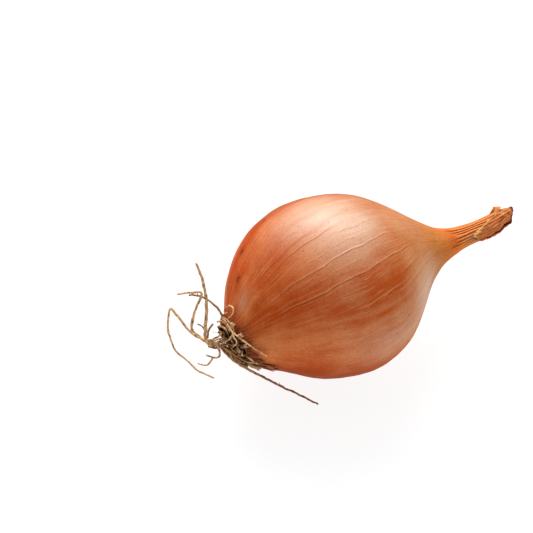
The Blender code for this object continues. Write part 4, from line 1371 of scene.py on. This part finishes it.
# %% Curled flakes
# Angle, where its foot is along the bulb, length, width in degrees, how high it lifts, and how light.
FLAKES = (
    (170, -28.7, 2.7, 17, 0.80, 0.80), (152, -29.4, 1.4, 9, 0.40, 0.30), (196, -30.1, 1.7, 13, 1.10, 0.70),
    (134, -29.7, 1.0, 7, 0.30, 0.25), (108, -29.8, 0.9, 8, 0.20, 0.30), (212, -29.0, 2.4, 16, 0.50, 0.50),
    (248, -29.4, 2.0, 14, 0.40, 0.65), (292, -29.2, 2.6, 14, 0.50, 0.60), (330, -29.5, 1.8, 12, 0.35, 0.50),
    (72, -29.8, 0.9, 7, 0.20, 0.15),
)
ACROSS_FLAKE, ALONG_FLAKE, FLAKE_WALL = 16, 14, 0.10
flakes = []
for degrees, start, long, wide, lift, shade in FLAKES:
    flake, side, out = add_grid("flake", ACROSS_FLAKE, ALONG_FLAKE)
    side = 2 * side - 1
    torn = 1 + 0.28 * np.sin(7 * side + degrees) + 0.16 * np.sin(17 * side + 2 * degrees)
    flake_x = start + long * out * torn
    taper = 1 - 0.55 * out ** 1.5
    turn = np.radians(degrees + wide * side * taper + 3 * np.sin(5 * out + degrees))
    off = 0.10 + lift * out ** 1.6 + 0.20 * side ** 2 * (0.2 + out) + 0.06 * np.sin(9 * side + 4 * out + degrees)
    flake_points = place(flake_x, turn, skin_radius(flake_x, turn) + off)
    flake_points[:, 2] = np.maximum(flake_points[:, 2], 0.2)
    write_points(flake.data, flake_points)
    keep(flake.data, "shade", np.full(len(flake_points), shade))
    keep(flake.data, "grow", np.stack([np.cos(turn), np.sin(turn), flake_x / GROW_UNIT], -1))
    wall = flake.modifiers.new("wall", "SOLIDIFY")
    wall.thickness = FLAKE_WALL * MM
    wall.offset = 0
    apply(flake, wall)
    flakes.append(flake)
flakes = join("skin_shreds", flakes, merge=False)
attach(flakes, "root")
print(2 * len(flakes.data.polygons), "triangles in the shreds")

# %% [markdown]
# ### The finish of roots and shreds
#
# Dry roots are straw-coloured, dull and patchy: light on the ridges that rubbed clean, dark brown where earth
# and old skin cling. Each root has its own lightness, which was stored when it was made, and hardly any light
# gets in between the feet of the roots, so they are painted darker there, as painted shade. The plate is dark
# cork, darker still as painted shade for the gaps between the roots. The shreds are the same skin as the
# bulb's, but older, so they are darker and duller.

# %% The roots' and the plate's materials
ROOTS, tree, shader = new_material("dry roots", 0.85)
shade = tree.attribute("shade")
patches = tree.group(PATCHES, Size=1.1, From=0.50, To=0.60)
small = tree.group(PATCHES, Size=0.4, From=0.40, To=0.60, Offset=4.0)
light = tree.mix(shade, colour(132, 58, 30), colour(254, 210, 154))
dark = tree.mix(shade, colour(52, 14, 5), colour(116, 48, 19))
base = tree.mix(tree.math("MULTIPLY_ADD", patches, 0.50, tree.math("MULTIPLY", small, 0.32)), light, dark)
tree.put(shader.inputs["Base Color"], tree.stain_and_shade(base, "deep", 0.96, (34, 8, 2)))
tree.put(shader.inputs["Normal"], tree.bump(small, 0.6, 0.05))
for piece in (strays, mat, hairs, stubs):
    piece.data.materials.append(ROOTS)

CORK_AND_PAINTED_SHADE, tree, shader = new_material("corky plate", 0.9)
patches = tree.group(PATCHES, Size=1.2, From=0.40, To=0.65)
# Dark cork, darker still as painted shade for the gaps between the roots.
tree.put(shader.inputs["Base Color"], tree.mix(patches, colour(42, 18, 8), colour(84, 46, 24)))
tree.put(shader.inputs["Normal"], tree.bump(tree.group(PATCHES, Size=0.6, From=0.3, To=0.7), 0.8, 0.1))
plate.data.materials.append(CORK_AND_PAINTED_SHADE)
print("root materials:", len(ROOTS.node_tree.nodes), "and", len(CORK_AND_PAINTED_SHADE.node_tree.nodes), "nodes")

# %% The shreds' material
SHRED, tree, shader = new_material("torn shreds", 0.6)
shade = tree.attribute("shade")
fibres = tree.group(FIBRES, Growth=tree.attribute("grow", "Vector"), Across=40.0, Along=4.0, Detail=3.0)
light = tree.mix(shade, colour(134, 68, 46), colour(208, 130, 86))
dark = tree.mix(shade, colour(56, 22, 16), colour(112, 50, 30))
tree.put(shader.inputs["Base Color"], tree.mix(tree.span(fibres, 0.35, 0.60), dark, light))
tree.put(shader.inputs["Normal"], tree.bump(fibres, 0.7, 0.06))
flakes.data.materials.append(SHRED)
print("materials:", [m.name for m in bpy.data.materials if m.users])
